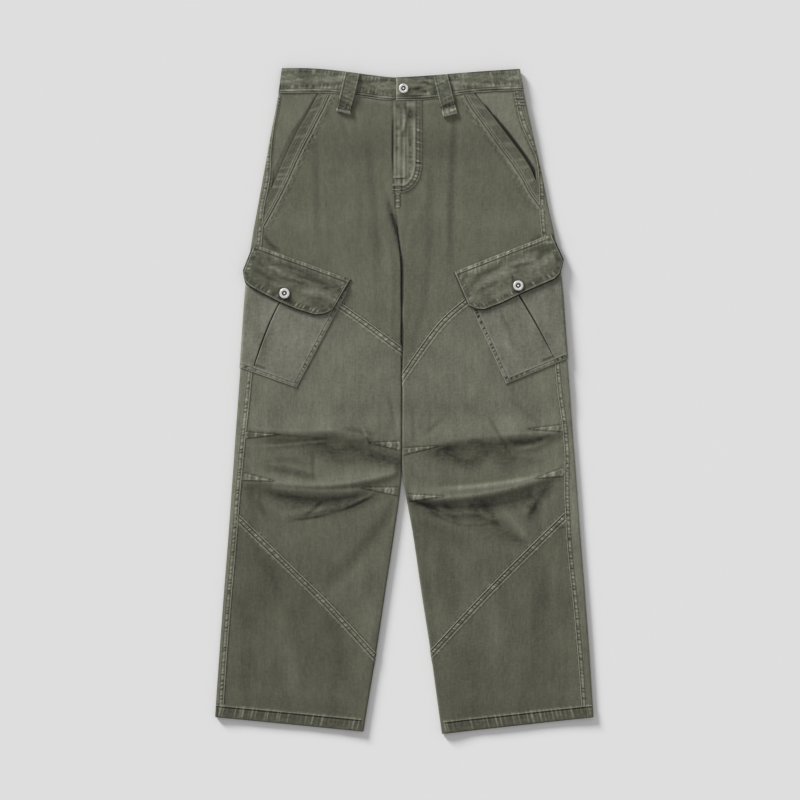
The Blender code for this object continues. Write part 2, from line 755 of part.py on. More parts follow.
def make_fly_placket(material):
    """The stitched overlap of the fly, straight along the centre with a curved foot."""
    curve_top = PLACKET_FOOT + PLACKET_CURVE
    turned = np.sin(np.radians(PLACKET_ANGLES))
    levels = np.concatenate((np.linspace(474.0, curve_top, 5), curve_top - PLACKET_CURVE * turned))
    into_curve = np.clip((curve_top - levels) / PLACKET_CURVE, 0, 1)
    width = PLACKET_TIP + (PLACKET_WIDTH - PLACKET_TIP) * np.sqrt(1 - into_curve**2)
    share = np.array((0.0, 0.0, 0.5, 1.0, 1.0))
    inset = np.array((0.0, 1.0, 0.0, -1.0, 0.0))
    rounding = np.array((-0.3, 0.0, 0.0, 0.0, -0.3))
    across = inner_line("left", levels)[:, None] + GAP + share * width[:, None] + inset
    level = levels[:, None] + 0 * across
    level[0] = waist_seam("left", across[0]) - GAP
    outer = place("left", across, level, GAP + PLACKET_WALL + rounding)
    make_sheet("fly_placket", outer, place("left", across, level, GAP), material)


# ---- Belt loops


def make_front_loop(side, top_across, foot, material):
    """A loop arched over the waistband, its lower end folded under and tacked."""
    top = np.array((top_across, waist_top(side, np.array(top_across)) - 0.5))
    foot = np.array(foot)
    way = (foot - top) / np.linalg.norm(foot - top)
    half = LOOP_WIDTH / 2
    edge = np.array((0.0, 0.8, LOOP_EDGE, LOOP_EDGE + 0.8))
    offset = np.concatenate((edge - half, half - edge[::-1]))
    stitched = 0.5 * np.array((0, 1, 1, 0, 0, 1, 1, 0))
    centre = top + LOOP_ARCH["share"][:, None] * (foot - top)
    across = centre[:, :1] - offset * way[1]
    level = centre[:, 1:] + offset * way[0]
    level[0] = waist_top(side, across[0]) - GAP
    rise = LOOP_ARCH["rise"][:, None] + 0 * offset
    wall = LOOP_ARCH["wall"][:, None] + stitched
    outer = place(side, across, level, rise + wall)
    make_sheet("belt_loop_front_" + side, outer, place(side, across, level, rise), material)


def make_back_loop(name, side, middle, material):
    """A loop on the underside of the waistband, pressed flat by the weight on it."""
    offset = LOOP_WIDTH * np.array((-0.5, 0.5))
    top = waist_top(side, np.array(middle)) - 1.0
    level = np.linspace(top, BACK_LOOP_FOOT, 5)[:, None] + 0 * offset
    across = underside(side, middle + offset, level)
    outer = place(side, across, level, LOOP_SEAT + LOOP_WALL)
    make_sheet(name, outer, place(side, across, level, LOOP_SEAT), material)


# ---- Cargo pockets and flaps


def pocket_rows(side, down):
    """Start of each of the pocket's rows in flat positions, its direction and its length."""
    corners = np.stack((CARGO_POCKET[side]["across"], CARGO_POCKET[side]["level"]), axis=-1)
    inner = corners[0] + down[:, None] * (corners[1] - corners[0])
    outer = corners[3] + down[:, None] * (corners[2] - corners[3])
    width = np.linalg.norm(outer - inner, axis=1)
    return inner, (outer - inner) / width[:, None], width


def rows_to_fold(side, inner, way):
    """Where the side fold starts and ends along the pocket's rows."""
    start = np.zeros(len(inner))
    for _ in range(20):
        level = inner[:, 1] + start * way[:, 1]
        start = (fold_start(side, level) - inner[:, 0]) / way[:, 0]
    return start, start + np.pi * FOLD / way[:, 0]


def pleat_relief(from_lip, down, from_foot):
    """The two folded lips of the pleat and the groove between them."""
    lip = PLEAT_LIP * ramp(from_lip, 0.2, LIP_EDGE) * (1 - ramp(from_lip, LIP_EDGE, LIP_SLOPE))
    groove = -PLEAT_DEPTH * (1 - ramp(from_lip, 0.1, 1.2))
    along = np.sin(np.pi * (0.03 + 0.94 * down)) ** 0.5
    return (lip + groove) * along * ramp(from_foot, POCKET_FELL, POCKET_FELL + 14.0)


def make_cargo_pocket(side, material):
    """A patch pocket with a pleat down its middle, wrapped round the side fold of the leg."""
    bottom = np.array((POCKET_FELL + RAMP, POCKET_FELL, EDGE_STEP + RAMP, 0.0)) / POCKET_HEIGHT
    down = np.concatenate((np.linspace(0, 0.9, 8), 1 - bottom))
    inner, way, width = pocket_rows(side, down)
    start, end = rows_to_fold(side, inner, way)
    pleat = width / 2
    gap = 0.5 + PLEAT_GAP * np.sin(np.pi * np.clip((down - 0.2) / 0.8, 0, 1)) ** 0.7
    stations = [0 * width + at for at in (0.0, EDGE_STEP + RAMP, POCKET_FELL, POCKET_FELL + RAMP)]
    stations += [(POCKET_FELL + pleat) / 2]
    stations += [pleat - LIP_REACH, pleat - gap - LIP_EDGE, pleat - gap]
    stations += [pleat + gap, pleat + gap + LIP_EDGE, pleat + LIP_REACH]
    stations += [start + share * (end - start) for share in FOLD_SHARES]
    stations += [width]
    run = np.stack(stations, axis=1)
    flat = inner[:, None] + run[..., None] * way[:, None]
    across, level = flat[..., 0], flat[..., 1]
    down = down[:, None]
    from_foot = POCKET_HEIGHT * (1 - down)
    relief = raised(run, POCKET_FELL, FELL_RISE)
    relief = np.maximum(relief, raised(from_foot, POCKET_FELL, FELL_RISE))
    relief += pleat_relief(np.abs(run - pleat[:, None]) - gap[:, None], down, from_foot)
    on_top = 1 - ramp(section(side, across, level)[1], 0.0, 1.2)
    outer = place(side, across, level, GAP + POCKET_WALL + relief * on_top)
    make_sheet("cargo_pocket_" + side, outer, place(side, across, level, GAP), material)


def flap_frame(side):
    """Inner corner of the flap and its two directions, in flat positions."""
    corner, end = (np.array(CARGO_FLAP[side][key]) for key in ("corner", "top_end"))
    width = np.linalg.norm(end - corner)
    along = (end - corner) / width
    return corner, along, np.array((along[1], -along[0])), width


def make_cargo_flap(side, material):
    """A buttoned flap, sewn along its top edge and standing a little past the leg's side."""
    corner, along, down, width = flap_frame(side)
    foot = FLAP_FOOT[side]
    share = (foot["along"] - foot["along"][0]) / (foot["along"][-1] - foot["along"][0])
    reach = foot["down"] / FLAP_DEPTH
    near = np.array((0.0, FLAP_BAND, FLAP_SLOPE, 30.0))[:, None] * reach
    far = np.array((18.0, FLAP_RIM + RAMP, FLAP_RIM, 1.0, 0.0))[:, None] * reach
    depth = np.concatenate((near, foot["down"] - far))
    run = share * width + (foot["along"] - share * width) * depth / foot["down"]
    flat = corner + run[..., None] * along + depth[..., None] * down
    seat = GAP + (FLAP_SEAT - GAP) * ease(depth, FLAP_BAND - 2.0, FLAP_SLOPE)
    from_end = np.minimum(share, 1 - share) * width
    relief = np.array((0.2, 0.4, 0.0, 0.0, 0.0, 0.0, RIM_RISE, RIM_RISE, 0.0))[:, None] + 0 * run
    relief = np.where(from_end < FLAP_RIM, RIM_RISE, relief) * (from_end > 0)
    across, level = flat[..., 0], flat[..., 1]
    outer = over_front(side, across, level, seat + FLAP_WALL + relief)
    make_sheet("cargo_flap_" + side, outer, over_front(side, across, level, seat), material)


# ---- Buttons


def make_button(name, side, across, level, rise, material):
    """A ring-shaped metal button with a low stud in the middle of its hole."""
    seat = over_front(side, np.array(across), np.array(level), rise)
    turn = np.arange(BUTTON_SIDES) * 2 * np.pi / BUTTON_SIDES
    circle = np.stack((np.cos(turn), np.sin(turn), 0 * turn), axis=-1)
    up = np.array((0.0, 0.0, 1.0))
    points = [seat]
    for radius, height in zip(BUTTON_PROFILE["radius"], BUTTON_PROFILE["height"]):
        points.extend(seat + radius * circle + height * up)
    points.append(seat + STUD_HEIGHT * up)
    rings = len(BUTTON_PROFILE["radius"])
    number = 1 + np.arange(rings * BUTTON_SIDES).reshape(rings, BUTTON_SIDES)
    closed = np.concatenate((number, number[:, :1]), axis=1)
    faces = [(0, closed[0, k + 1], closed[0, k]) for k in range(BUTTON_SIDES)]
    for k in range(rings - 1):
        faces += quads(closed[k], closed[k + 1])
    faces += [(closed[-1, k], closed[-1, k + 1], len(points) - 1) for k in range(BUTTON_SIDES)]
    make_object(name, points, faces, material)


def main():
    for leftover in list(bpy.data.objects):
        bpy.data.objects.remove(leftover, do_unlink=True)
    hip = cloth_material("twill_hip", (0.117, 0.119, 0.085))
    leg = cloth_material("twill_leg", (0.110, 0.112, 0.080))
    band = cloth_material("twill_waistband", (0.130, 0.132, 0.098))
    pocket = cloth_material("twill_pocket", (0.165, 0.168, 0.127))
    metal = cloth_material("button_metal", (0.62, 0.61, 0.58), roughness=0.35, metallic=1.0)
    for side in MIRROR:
        make_waistband(side, band)
        make_back(side, leg)
        make_hip_front(side, hip)
        make_knee_front(side, leg)
        make_shin_front(side, leg)
        make_pocket_facing(side, hip)
        make_pocket_band(side, hip)
        make_cargo_pocket(side, pocket)
        make_cargo_flap(side, pocket)
        make_front_loop(side, *FRONT_LOOPS[side], band)
        make_back_loop("belt_loop_back_" + side, side, BACK_LOOPS[side], band)
        seat = FLAP_SEAT + FLAP_WALL + RIM_RISE + GAP
        make_button("button_pocket_" + side, side, *BUTTONS[side], seat, metal)
    make_back_loop("belt_loop_back_centre", "right", CENTRE_LOOP, band)
    make_fly_placket(hip)
    make_button("button_waist", "left", *BUTTONS["waist"], BAND_RISE + LAP_RISE + GAP, metal)


main()
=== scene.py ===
# %% [markdown]
# # Cargo trousers laid flat
# A pair of wide cotton trousers lies on its back on a pale table, front side up. Each cut piece of
# cloth is modelled as a thin closed shell, seams are raised strips on it, and the sewing thread is
# laid along the seams with Geometry Nodes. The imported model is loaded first, because every shell
# has to lie where its solid lies.

import json

import bpy
import numpy as np
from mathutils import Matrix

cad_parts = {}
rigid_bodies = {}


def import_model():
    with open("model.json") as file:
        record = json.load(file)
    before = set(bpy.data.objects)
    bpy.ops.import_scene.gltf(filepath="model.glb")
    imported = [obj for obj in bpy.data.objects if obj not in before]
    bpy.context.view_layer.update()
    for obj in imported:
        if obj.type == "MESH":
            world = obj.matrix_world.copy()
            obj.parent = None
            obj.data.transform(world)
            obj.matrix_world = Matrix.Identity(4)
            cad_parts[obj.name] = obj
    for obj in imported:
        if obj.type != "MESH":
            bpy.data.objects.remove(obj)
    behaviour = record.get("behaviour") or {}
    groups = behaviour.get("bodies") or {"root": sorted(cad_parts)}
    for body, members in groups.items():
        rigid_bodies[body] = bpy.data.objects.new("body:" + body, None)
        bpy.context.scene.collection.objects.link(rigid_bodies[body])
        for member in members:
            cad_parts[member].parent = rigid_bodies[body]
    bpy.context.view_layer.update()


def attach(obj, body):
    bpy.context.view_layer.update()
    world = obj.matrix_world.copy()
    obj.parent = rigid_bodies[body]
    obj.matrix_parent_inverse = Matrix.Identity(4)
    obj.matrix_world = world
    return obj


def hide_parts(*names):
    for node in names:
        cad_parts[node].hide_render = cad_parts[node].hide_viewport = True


for leftover in list(bpy.data.objects):
    bpy.data.objects.remove(leftover, do_unlink=True)
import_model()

# %% [markdown]
# ## Measures
# A cutter works in millimetres on flat cloth, so this script does too. Each half of the garment has
# flat positions: "across" runs from the centre line over the front, round the rolled side fold and
# back along the underside, and "level" is the height up the garment. "rise" is a distance out of
# the cloth. Only the finished points are turned into metres.

# %% Units, cloth and helpers
MM = 0.001
MIRROR = {"right": -1.0, "left": 1.0}
WALL = 1.2  # thickness of the twill
GAP = 0.3  # clearance between neighbouring pieces
FOLD = 3.0  # outside radius of the rolled folds along a leg
SEAM_STEP = 0.22  # what each panel leaves along Y at a diagonal seam
CENTRE_STEP = 0.3  # what each half leaves at the centre seam
HEM = 18.0  # depth of a hem
CREASE_ROW = "x1 y1 x2 y2 x3 y3 height above below"  # headings of the tables of creases
# In the tables of sewn edges, fade paints light on ridges and shade in grooves and pucker hollows, besides
# wear.
EDGE_ROW = "away rise fade pucker"  # and of those of sewn edges


def table(heading, *rows):
    """The named columns of a table, as arrays."""
    return dict(zip(heading.split(), np.array(rows, float).T))


def read(part, at, **past):
    """The other columns of a table, at places along its first one."""
    first, *columns = part.values()
    way = np.sign(first[-1] - first[0])
    return [np.interp(way * at, way * first, column, **past) for column in columns]


def smooth(place, value, at):
    """A smooth curve through the values at rising or falling places, straight past its ends."""
    order = np.argsort(place)
    place, value = place[order], value[order]
    secant = np.diff(value) / np.diff(place)
    slope = np.gradient(value, place)
    slope[1:-1][secant[1:] * secant[:-1] <= 0] = 0
    at = np.asarray(at, float)
    inside = np.clip(at, place[0], place[-1])
    k = np.clip(np.searchsorted(place, inside, side="right") - 1, 0, len(place) - 2)
    span = place[k + 1] - place[k]
    t = (inside - place[k]) / span
    curved = (
        (1 + 2 * t) * (1 - t) ** 2 * value[k]
        + t * (1 - t) ** 2 * span * slope[k]
        + t * t * (3 - 2 * t) * value[k + 1]
        + t * t * (t - 1) * span * slope[k + 1]
    )
    return curved + (at - inside) * np.where(at < place[0], slope[0], slope[-1])


def ease(at, start, end):
    """0 before start, 1 after end, with a soft change between."""
    t = np.clip((at - start) / (end - start), 0, 1)
    return t * t * (3 - 2 * t)


def ramp(at, start, end):
    return np.clip((at - start) / (end - start), 0, 1)


print("a leg's fold is", 2 * FOLD, "mm high and its cloth", WALL, "mm thick")

# %% [markdown]
# ## Lines of the cut
# The outline and the seams are the same as those of the solids, so they are repeated here as the
# same short tables. A table gives a line at a few places, and a smooth curve joins them.

# %% Outline, waist, hem and seams
OUTLINE = table(
    "level right_side right_inner left_inner left_side",
    (530, 192.0, 13.5, -13.5, 180.0), (486, 198.0, 13.5, -13.5, 188.5), (413, 212.0, 13.5, -13.5, 204.5),
    (342, 225.0, 13.5, -13.5, 220.0), (295, 233.5, 13.0, -13.0, 229.5), (258, 240.0, 9.0, -9.0, 237.5),
    (220, 245.5, 4.5, -4.5, 243.5), (176, 250.0, 4.0, -4.0, 248.5), (129, 253.5, 4.0, -4.0, 252.0),
    (34, 260.0, 4.0, -4.0, 259.5), (-61, 267.0, 4.0, -4.0, 266.5), (-112, 270.5, 4.0, -3.5, 270.5),
    (-132, 272.0, 5.5, -0.8, 272.0), (-203, 277.0, 15.0, 12.0, 277.0), (-298, 284.5, 29.5, 26.0, 284.5),
    (-392, 291.5, 43.5, 40.5, 291.5), (-487, 298.0, 59.0, 53.5, 297.5), (-530, 300.5, 66.0, 59.5, 300.0),
)
SIDE_SHOWS = table(  # how much of the back shows on the front, between side fold and side seam
    "level width",
    (486, 5.0), (342, 8.0), (260, 11.0), (34, 14.0), (-200, 14.0), (-300, 12.0), (-520, 11.0),
)
SEAM_SHOWS = {  # the same width as the felled seam shows it; it wanders over the join
    "right": table(
        "level width",
        (486, -5.5), (440, -5.0), (397, -2.0), (345, 4.0), (310, 3.0), (262, 8.0), (60, 12.0),
        (10, 11.0), (-36, 9.5), (-77, 8.0), (-124, 7.0), (-176, 6.3), (-258, 5.8), (-313, 5.2),
        (-520, 5.0),
    ),
    "left": table(
        "level width",
        (486, 8.3), (437, 7.4), (410, 1.5), (384, -4.0), (343, 0.5), (287, 10.0), (258, 13.0),
        (60, 13.0), (10, 12.0), (-30, 9.0), (-77, 8.2), (-110, 10.5), (-140, 13.0), (-176, 14.2),
        (-227, 15.0), (-258, 14.6), (-313, 13.0), (-377, 11.8), (-440, 11.0), (-520, 10.6),
    ),
}
WAIST_TOP = table(
    "x level",
    (-194, 525.0), (-148, 524.8), (-91, 519.5), (-55, 514.5), (-13, 510.5), (46, 514.0), (107, 519.0),
    (182, 524.0),
)
WAIST_SEAM = table(
    "x level",
    (-198, 485.5), (-110, 485.0), (-73, 480.5), (-15, 474.0), (50, 477.0), (90, 484.0), (189, 490.5),
)
BACK_MIDDLE = -13.5
HEM_LINE = {
    "right": table("across level", (64, -520.5), (299, -497.5)),
    "left": table("across level", (60, -524.0), (299, -497.5)),
}
UPPER_SEAM = {
    "right": table("across level", (5, 84.5), (102, 154.0), (170, 193.0), (246, 218.0)),
    "left": table(
        "across level", (-3, 43.5), (29, 89.5), (53, 121.0), (92, 157.0), (160, 195.0), (246, 222.0)
    ),
}
LOWER_SEAM = {
    "right": table("across level", (47, -397.0), (118, -320.5), (190, -250.0), (264, -178.0)),
    "left": table("across level", (42, -393.0), (124, -305.0), (212, -217.0), (264, -166.0)),
}
HAND_POCKET = {
    "right": table(
        "mouth mouth_level seam seam_level",
        (136, 485.4, 119, 484.6), (147, 465, 129, 463), (156, 448, 139, 444), (167, 430, 149, 424),
        (178, 408, 161, 402), (189, 385, 172, 379), (200, 360, 184, 352), (210, 336, 197, 325),
        (217, 317, 221, 280),
    ),
    "left": table(
        "mouth mouth_level seam seam_level",
        (110, 485.6, 95.5, 484.5), (126, 466, 108, 462), (142, 446, 125, 439), (158, 425, 141, 417),
        (174, 404, 157, 395), (188, 385, 173, 374), (199, 367, 187, 352), (206, 351, 199, 329),
        (213, 340, 217, 305),
    ),
}


def side_fold(side, level):
    return smooth(OUTLINE["level"], OUTLINE[side + "_side"], level)


def inner_line(side, level):
    """The centre seam above the crotch and the leg's inner fold below it."""
    return smooth(OUTLINE["level"], OUTLINE[side + "_inner"], level) + CENTRE_STEP


def side_seam(side, level):
    return side_fold(side, level) - smooth(SIDE_SHOWS["level"], SIDE_SHOWS["width"], level)


def seam_line(side, level):
    return side_fold(side, level) - smooth(SEAM_SHOWS[side]["level"], SEAM_SHOWS[side]["width"], level)


def waist_line(line, side, across, under):
    """A line of the waist: curved on the front, and straight from side to middle on the back."""
    x = MIRROR[side] * across
    end = line["x"][-1 if side == "left" else 0]
    ends = smooth(line["x"], line["level"], np.array((end, BACK_MIDDLE)))
    straight = ends[0] + (ends[1] - ends[0]) * (x - end) / (BACK_MIDDLE - end)
    return np.where(under, straight, smooth(line["x"], line["level"], x))


def waist_top(side, across, under=False):
    return waist_line(WAIST_TOP, side, across, under)


def waist_seam(side, across, under=False):
    return waist_line(WAIST_SEAM, side, across, under)


def slanting(lines):
    """A line of the cut that is given as a level at a position across."""
    return lambda side, across, _=False: smooth(*lines[side].values(), across)


upper_seam, lower_seam, hem_line = (slanting(lines) for lines in (UPPER_SEAM, LOWER_SEAM, HEM_LINE))
for side in MIRROR:
    print(side, "leg is", round(float(side_fold(side, -500) - inner_line(side, -500))), "mm wide")

# %% [markdown]
# ## How the cloth lies
# Each leg is a flat tube: the front lies on the back, the side rolls over in a half turn and the
# inner edge in a quarter turn. Behind the knee the cloth has slid together into folds. They could
# come from a cloth simulation, but a simulation doesn't put them where they belong, so each crease
# is listed: three points on its crest, its height, and how far it slopes off above and below. A
# negative height is a trough.

# %% Creases of the front
CREASES = {
    "right": table(
        CREASE_ROW,
        (238, -40, 170, -44, 108, -42, 3.6, 34, 12),  # lower end of the thigh, outer half
        (134, -40, 94, -46, 44, -56, 3.8, 32, 14),  # and inner half
        (61, -70, 59, -58, 67, -42, 0.45, 3, 3), (222, -70, 160, -66, 116, -61, 0.35, 2.5, 3),
        (170, -186, 112, -176, 50, -148, -0.2, 2, 2), (212, -98, 181, -104, 143, -112, 1.0, 8, 7),
        (144, -83, 145, -105, 143, -124, -0.5, 4, 4),
        (228, -122, 130, -130, 10, -108, 3.6, 17, 9),  # main fold behind the knee
        (206, -136, 148, -141, 64, -138, 0.8, 5, 8), (240, -140, 165, -154, 48, -145, -1.2, 8, 14),
        (186, -178, 118, -167, 48, -145, 0.9, 8, 7), (132, -159, 143, -170, 156, -181, -0.5, 5, 5),
        (241, -133, 239, -162, 233, -200, -0.6, 7, 9), (13, -156, 42, -203, 86, -253, -0.8, 11, 14),
        (77, -244, 102, -269, 130, -291, -0.5, 13, 13),
        (140, 413, 138, 334, 137, 255, -0.35, 6, 8),  # soft drapes of the hip
        (54, 391, 48, 318, 39, 223, -0.4, 7, 9), (37, 353, 26, 309, 13, 255, -0.35, 7, 6),
        (100, 441, 92, 422, 83, 397, -0.3, 5, 5), (47, 261, 43, 176, 48, 113, -0.35, 7, 9),
        (29, 255, 23, 160, 29, 81, 0.35, 6, 6), (26, 10, 20, -17, 15, -48, -0.45, 5, 6),
        (165, -377, 102, -313, 39, -250, 0.6, 20, 20), (83, -377, 86, -416, 77, -471, -0.3, 12, 12),
    ),
    "left": table(
        CREASE_ROW,
        (248, -44, 205, -48, 158, -50, 3.8, 30, 11), (175, -48, 120, -52, 62, -62, 3.2, 32, 17),
        (80, -58, 52, -64, 24, -68, 1.4, 20, 11), (178, -73, 204, -70, 227, -60, 0.7, 5, 5),
        (134, -26, 150, -55, 170, -88, -0.3, 4, 4), (170, 2, 190, -17, 213, -37, -0.4, 5, 6),
        (64, -137, 119, -133, 208, -119, 0.7, 5, 6),
        (7, -149, 100, -147, 232, -114, 3.6, 17, 9),  # main fold behind the knee
        (5, -160, 80, -170, 225, -142, -1.2, 8, 15), (31, -168, 72, -176, 122, -171, 0.8, 8, 6),
        (116, -174, 132, -180, 148, -184, 0.6, 7, 6), (214, -130, 204, -152, 192, -176, 0.8, 9, 7),
        (13, -10, 13, -32, 15, -58, -0.4, 5, 6), (61, -26, 47, -39, 31, -51, -0.4, 5, 6),
        (78, 441, 75, 350, 72, 220, -0.5, 6, 8),  # soft drapes of the hip
        (42, 373, 40, 287, 37, 160, -0.4, 7, 9), (157, 388, 179, 350, 201, 306, -0.6, 9, 8),
        (34, 192, 28, 144, 15, 89, -0.4, 7, 7), (103, 2, 119, 50, 122, 81, 0.4, 11, 11),
        (1, 220, 12, 279, 31, 318, 0.4, 7, 9), (40, -187, 32, -250, 37, -313, -0.4, 7, 9),
        (151, -250, 182, -345, 198, -440, 0.6, 22, 22), (167, -187, 182, -227, 214, -250, -0.5, 10, 10),
    ),
}
PAINTED_SHADE_AND_WEAR = {  # patches of painted shade and light, with some wear, as rows like the creases, with a fade for a height
    "right": table(
        CREASE_ROW,
        (216, -61, 165, -61, 118, -61, -0.5, 3, 9), (152, -75, 110, -77, 67, -72, -0.6, 11, 13),
        (58, -84, 32, -89, 4, -96, -0.95, 10, 12), (212, -102, 181, -108, 143, -118, -0.45, 7, 7),
        (231, -133, 165, -154, 51, -141, -0.52, 6, 16), (197, -148, 133, -155, 61, -150, -0.35, 8, 12),
        (170, -186, 150, -184, 126, -180, -0.6, 1.8, 2.4), (98, -172, 74, -161, 48, -147, -0.55, 2, 3),
        (92, -164, 70, -154, 46, -140, 0.3, 2, 2), (158, -171, 134, -171, 106, -166, 0.25, 2, 2),
        (96, -44, 74, -46, 50, -52, -0.35, 5, 6), (138, -64, 120, -74, 100, -88, -0.3, 8, 8),
        (96, -64, 79, -74, 62, -86, -0.3, 7, 7), (132, -159, 144, -170, 156, -181, -0.4, 2, 2),
        (60, -56, 58, -61, 54, -66, -0.8, 2.5, 2.5), (118, -91, 90, -94, 60, -88, -0.3, 6, 6),
        (20.5, 470, 20.5, 420, 20, 350, -0.25, 1.6, 1.6),
        (19.3, 440, 19.3, 405, 19.3, 374, -1.3, 1.0, 1.0), (20, 297, 14, 278, 8, 258, -0.7, 3.5, 4),
        (221, 263, 213, 250, 198, 239, -0.8, 3, 4), (70, 210, 92, 120, 120, 30, 0.12, 40, 50),
        (57, -62, 40, -68, 16, -74, -0.3, 3, 5), (200, -52, 150, -56, 124, -58, -0.4, 2, 3),
        (220, -96, 190, -92, 164, -96, -0.2, 4, 5), (236, -226, 214, -262, 196, -306, -0.3, 8, 12),
        (120, -330, 104, -390, 96, -440, -0.22, 9, 12), (196, -330, 184, -400, 176, -460, 0.14, 12, 14),
        (250, -330, 246, -400, 250, -450, -0.2, 8, 10), (241, -140, 234, -156, 225, -174, -0.3, 6, 8),
        (165, -176, 102, -168, 51, -151, -0.3, 6, 9), (209, -124, 133, -130, 20, -110, 0.15, 4, 4),
        (206, -135, 148, -140, 64, -137, 0.22, 3, 3), (25, 313, 17, 282, 8, 240, -0.7, 3, 4),
        (140, 413, 138, 334, 137, 255, -0.16, 5, 8), (54, 391, 48, 318, 42, 160, -0.16, 8, 10),
        (225, -250, 165, -345, 118, -440, -0.16, 30, 30), (94, -250, 70, -313, 58, -377, 0.05, 20, 20),
        (260, -471, 165, -479, 86, -490, -0.12, 12, 12), (15, -156, 70, -234, 118, -282, -0.26, 10, 10),
        (30, 225, 38, 190, 46, 150, 0.12, 25, 25), (229, -140, 226, -162, 216, -182, -0.25, 3, 4),
    ),
    "left": table(
        CREASE_ROW,
        (51, -77, 96, -67, 170, -70, -0.45, 6, 14), (134, -26, 150, -55, 170, -88, -0.14, 2.5, 2.5),
        (198, 252, 210, 258, 224, 262, -0.5, 4, 3), (46, -86, 62, -74, 80, -70, -0.35, 3, 4),
        (100, -66, 113, -61, 124, -68, -0.35, 3, 5), (60, 210, 80, 120, 100, 30, 0.10, 40, 50),
        (60, -226, 72, -270, 78, -330, -0.24, 8, 12), (216, -280, 206, -340, 210, -410, -0.24, 8, 12),
        (130, -280, 142, -350, 140, -420, 0.14, 12, 14), (240, -240, 232, -300, 238, -360, 0.14, 8, 8),
        (134, -78, 112, -92, 84, -98, -0.35, 8, 8), (60, -66, 74, -80, 86, -96, -0.3, 8, 8),
        (28, -150, 42, -166, 54, -180, -0.4, 5, 7), (62, -158, 74, -174, 84, -190, -0.45, 5, 7),
        (100, -160, 112, -170, 122, -184, -0.4, 5, 7), (118, -156, 136, -176, 150, -198, -0.5, 5, 9),
        (229, -126, 213, -152, 194, -181, -0.6, 3, 9), (3, -152, 40, -166, 80, -183, -0.6, 2, 3),
        (84, -164, 108, -160, 130, -160, 0.2, 3, 3), (216, -150, 222, -170, 218, -196, 0.2, 5, 5),
        (54, -84, 88, -92, 119, -98, -0.38, 11, 11), (116, -76, 151, -86, 174, -106, -0.4, 13, 14),
        (165, -63, 198, -63, 227, -55, -0.75, 4, 7), (160, -90, 190, -92, 214, -96, -0.2, 6, 8),
        (12, -157, 72, -165, 138, -157, -0.42, 6, 15), (119, -160, 174, -152, 217, -134, -0.5, 7, 16),
        (189, -160, 198, -168, 204, -152, -0.35, 8, 8), (7, -149, 103, -146, 228, -114, 0.15, 4, 4),
        (20, -190, 60, -204, 96, -226, -0.2, 10, 12), (110, -196, 150, -210, 190, -214, -0.2, 12, 12),
        (64, -137, 119, -133, 208, -119, 0.18, 3, 4), (12, -96, 32, -108, 56, -118, 0.12, 10, 10),
        (78, 441, 75, 350, 72, 220, -0.2, 6, 8), (42, 373, 40, 287, 37, 160, -0.14, 8, 10),
        (159, 383, 179, 342, 198, 307, -0.22, 9, 7), (80, -377, 119, -440, 151, -479, -0.12, 25, 25),
        (119, -313, 88, -377, 72, -408, 0.12, 20, 20), (80, -495, 182, -484, 269, -474, -0.12, 12, 12),
        (12, -187, 24, -250, 40, -313, -0.12, 8, 10), (196, -138, 200, -160, 196, -184, -0.3, 7, 10),
        (152, -166, 172, -190, 192, -214, 0.25, 6, 7), (86, -176, 120, -186, 156, -194, -0.4, 6, 7),
        (148, -206, 168, -214, 192, -222, -0.42, 6, 7), (28, -160, 68, -188, 140, -191, -0.35, 2, 3),
        (208, -190, 216, -206, 220, -230, -0.2, 5, 6),
    ),
}
CREASE_ENDS = 0.22  # share of a crease over which it dies out at each end
LEG_SAG = 1.6  # how far the front of a leg sinks on to its back between the folds
SAG_REACH = 60.0
SAG_TOP = (-48.0, 4.0)
FOLDS_FADE = 16.0  # the creases fade out over this distance from a leg's edges
LIFTS = {"waist": (2.4, 380.0, 435.0), "pocket": (1.5, -28.0, 12.0, 270.0, 308.0)}
CROTCH = 225.0  # level below which the legs are rolled shut at their inner edges
CROTCH_BLEND = 75.0


def crease(row, across, level):
    """Height of one crease at flat positions."""
    x1, y1, x2, y2, x3, y3, height, above, below = row
    start, middle, end = np.array((x1, y1)), np.array((x2, y2)), np.array((x3, y3))
    length = np.linalg.norm(end - start)
    way = (end - start) / length
    up = np.array((way[1], -way[0])) * (1 if way[0] <= 0 else -1)
    share = ((across - x1) * way[0] + (level - y1) * way[1]) / length
    middle_share = (middle - start) @ way / length
    bow = (middle - start) @ up / (middle_share * (1 - middle_share))
    inside = np.clip(share, 0, 1)
    from_crest = (across - x1) * up[0] + (level - y1) * up[1] - bow * inside * (1 - inside)
    fade = ease(share, -CREASE_ENDS, CREASE_ENDS) * (1 - ease(share, 1 - CREASE_ENDS, 1 + CREASE_ENDS))
    width = np.where(from_crest > 0, above, below)
    return height * fade * np.exp(-((from_crest / width) ** 2))


def creases(rows, across, level):
    """Height of all the creases of a table."""
    return sum(crease(row, across, level) for row in zip(*rows.values()))


def unevenness(side, across, level):
    """Slight waves that keep a large piece of cloth from looking pressed."""
    turn = {"right": 0.0, "left": 2.1}[side]
    wide = np.sin(across / 23 + level / 61 + turn) * np.sin(level / 37 - across / 71 + 2 * turn)
    close = np.sin(across / 11 - level / 83 + turn) * np.sin(level / 29 + across / 47 - turn)
    return 0.35 * wide + 0.12 * close


def front_form(side, across, level):
    """Height of the front over a flat one: creases, and the sag of the legs on to their backs."""
    from_edge = np.minimum(side_fold(side, level) - across, across - inner_line(side, level))
    middle = ease(from_edge, FOLD, SAG_REACH)
    off_edges = ease(from_edge, 0.0, FOLDS_FADE)
    relief = unevenness(side, across, level) + creases(CREASES[side], across, level)
    return off_edges * relief - LEG_SAG * middle * (1 - ease(level, *SAG_TOP))


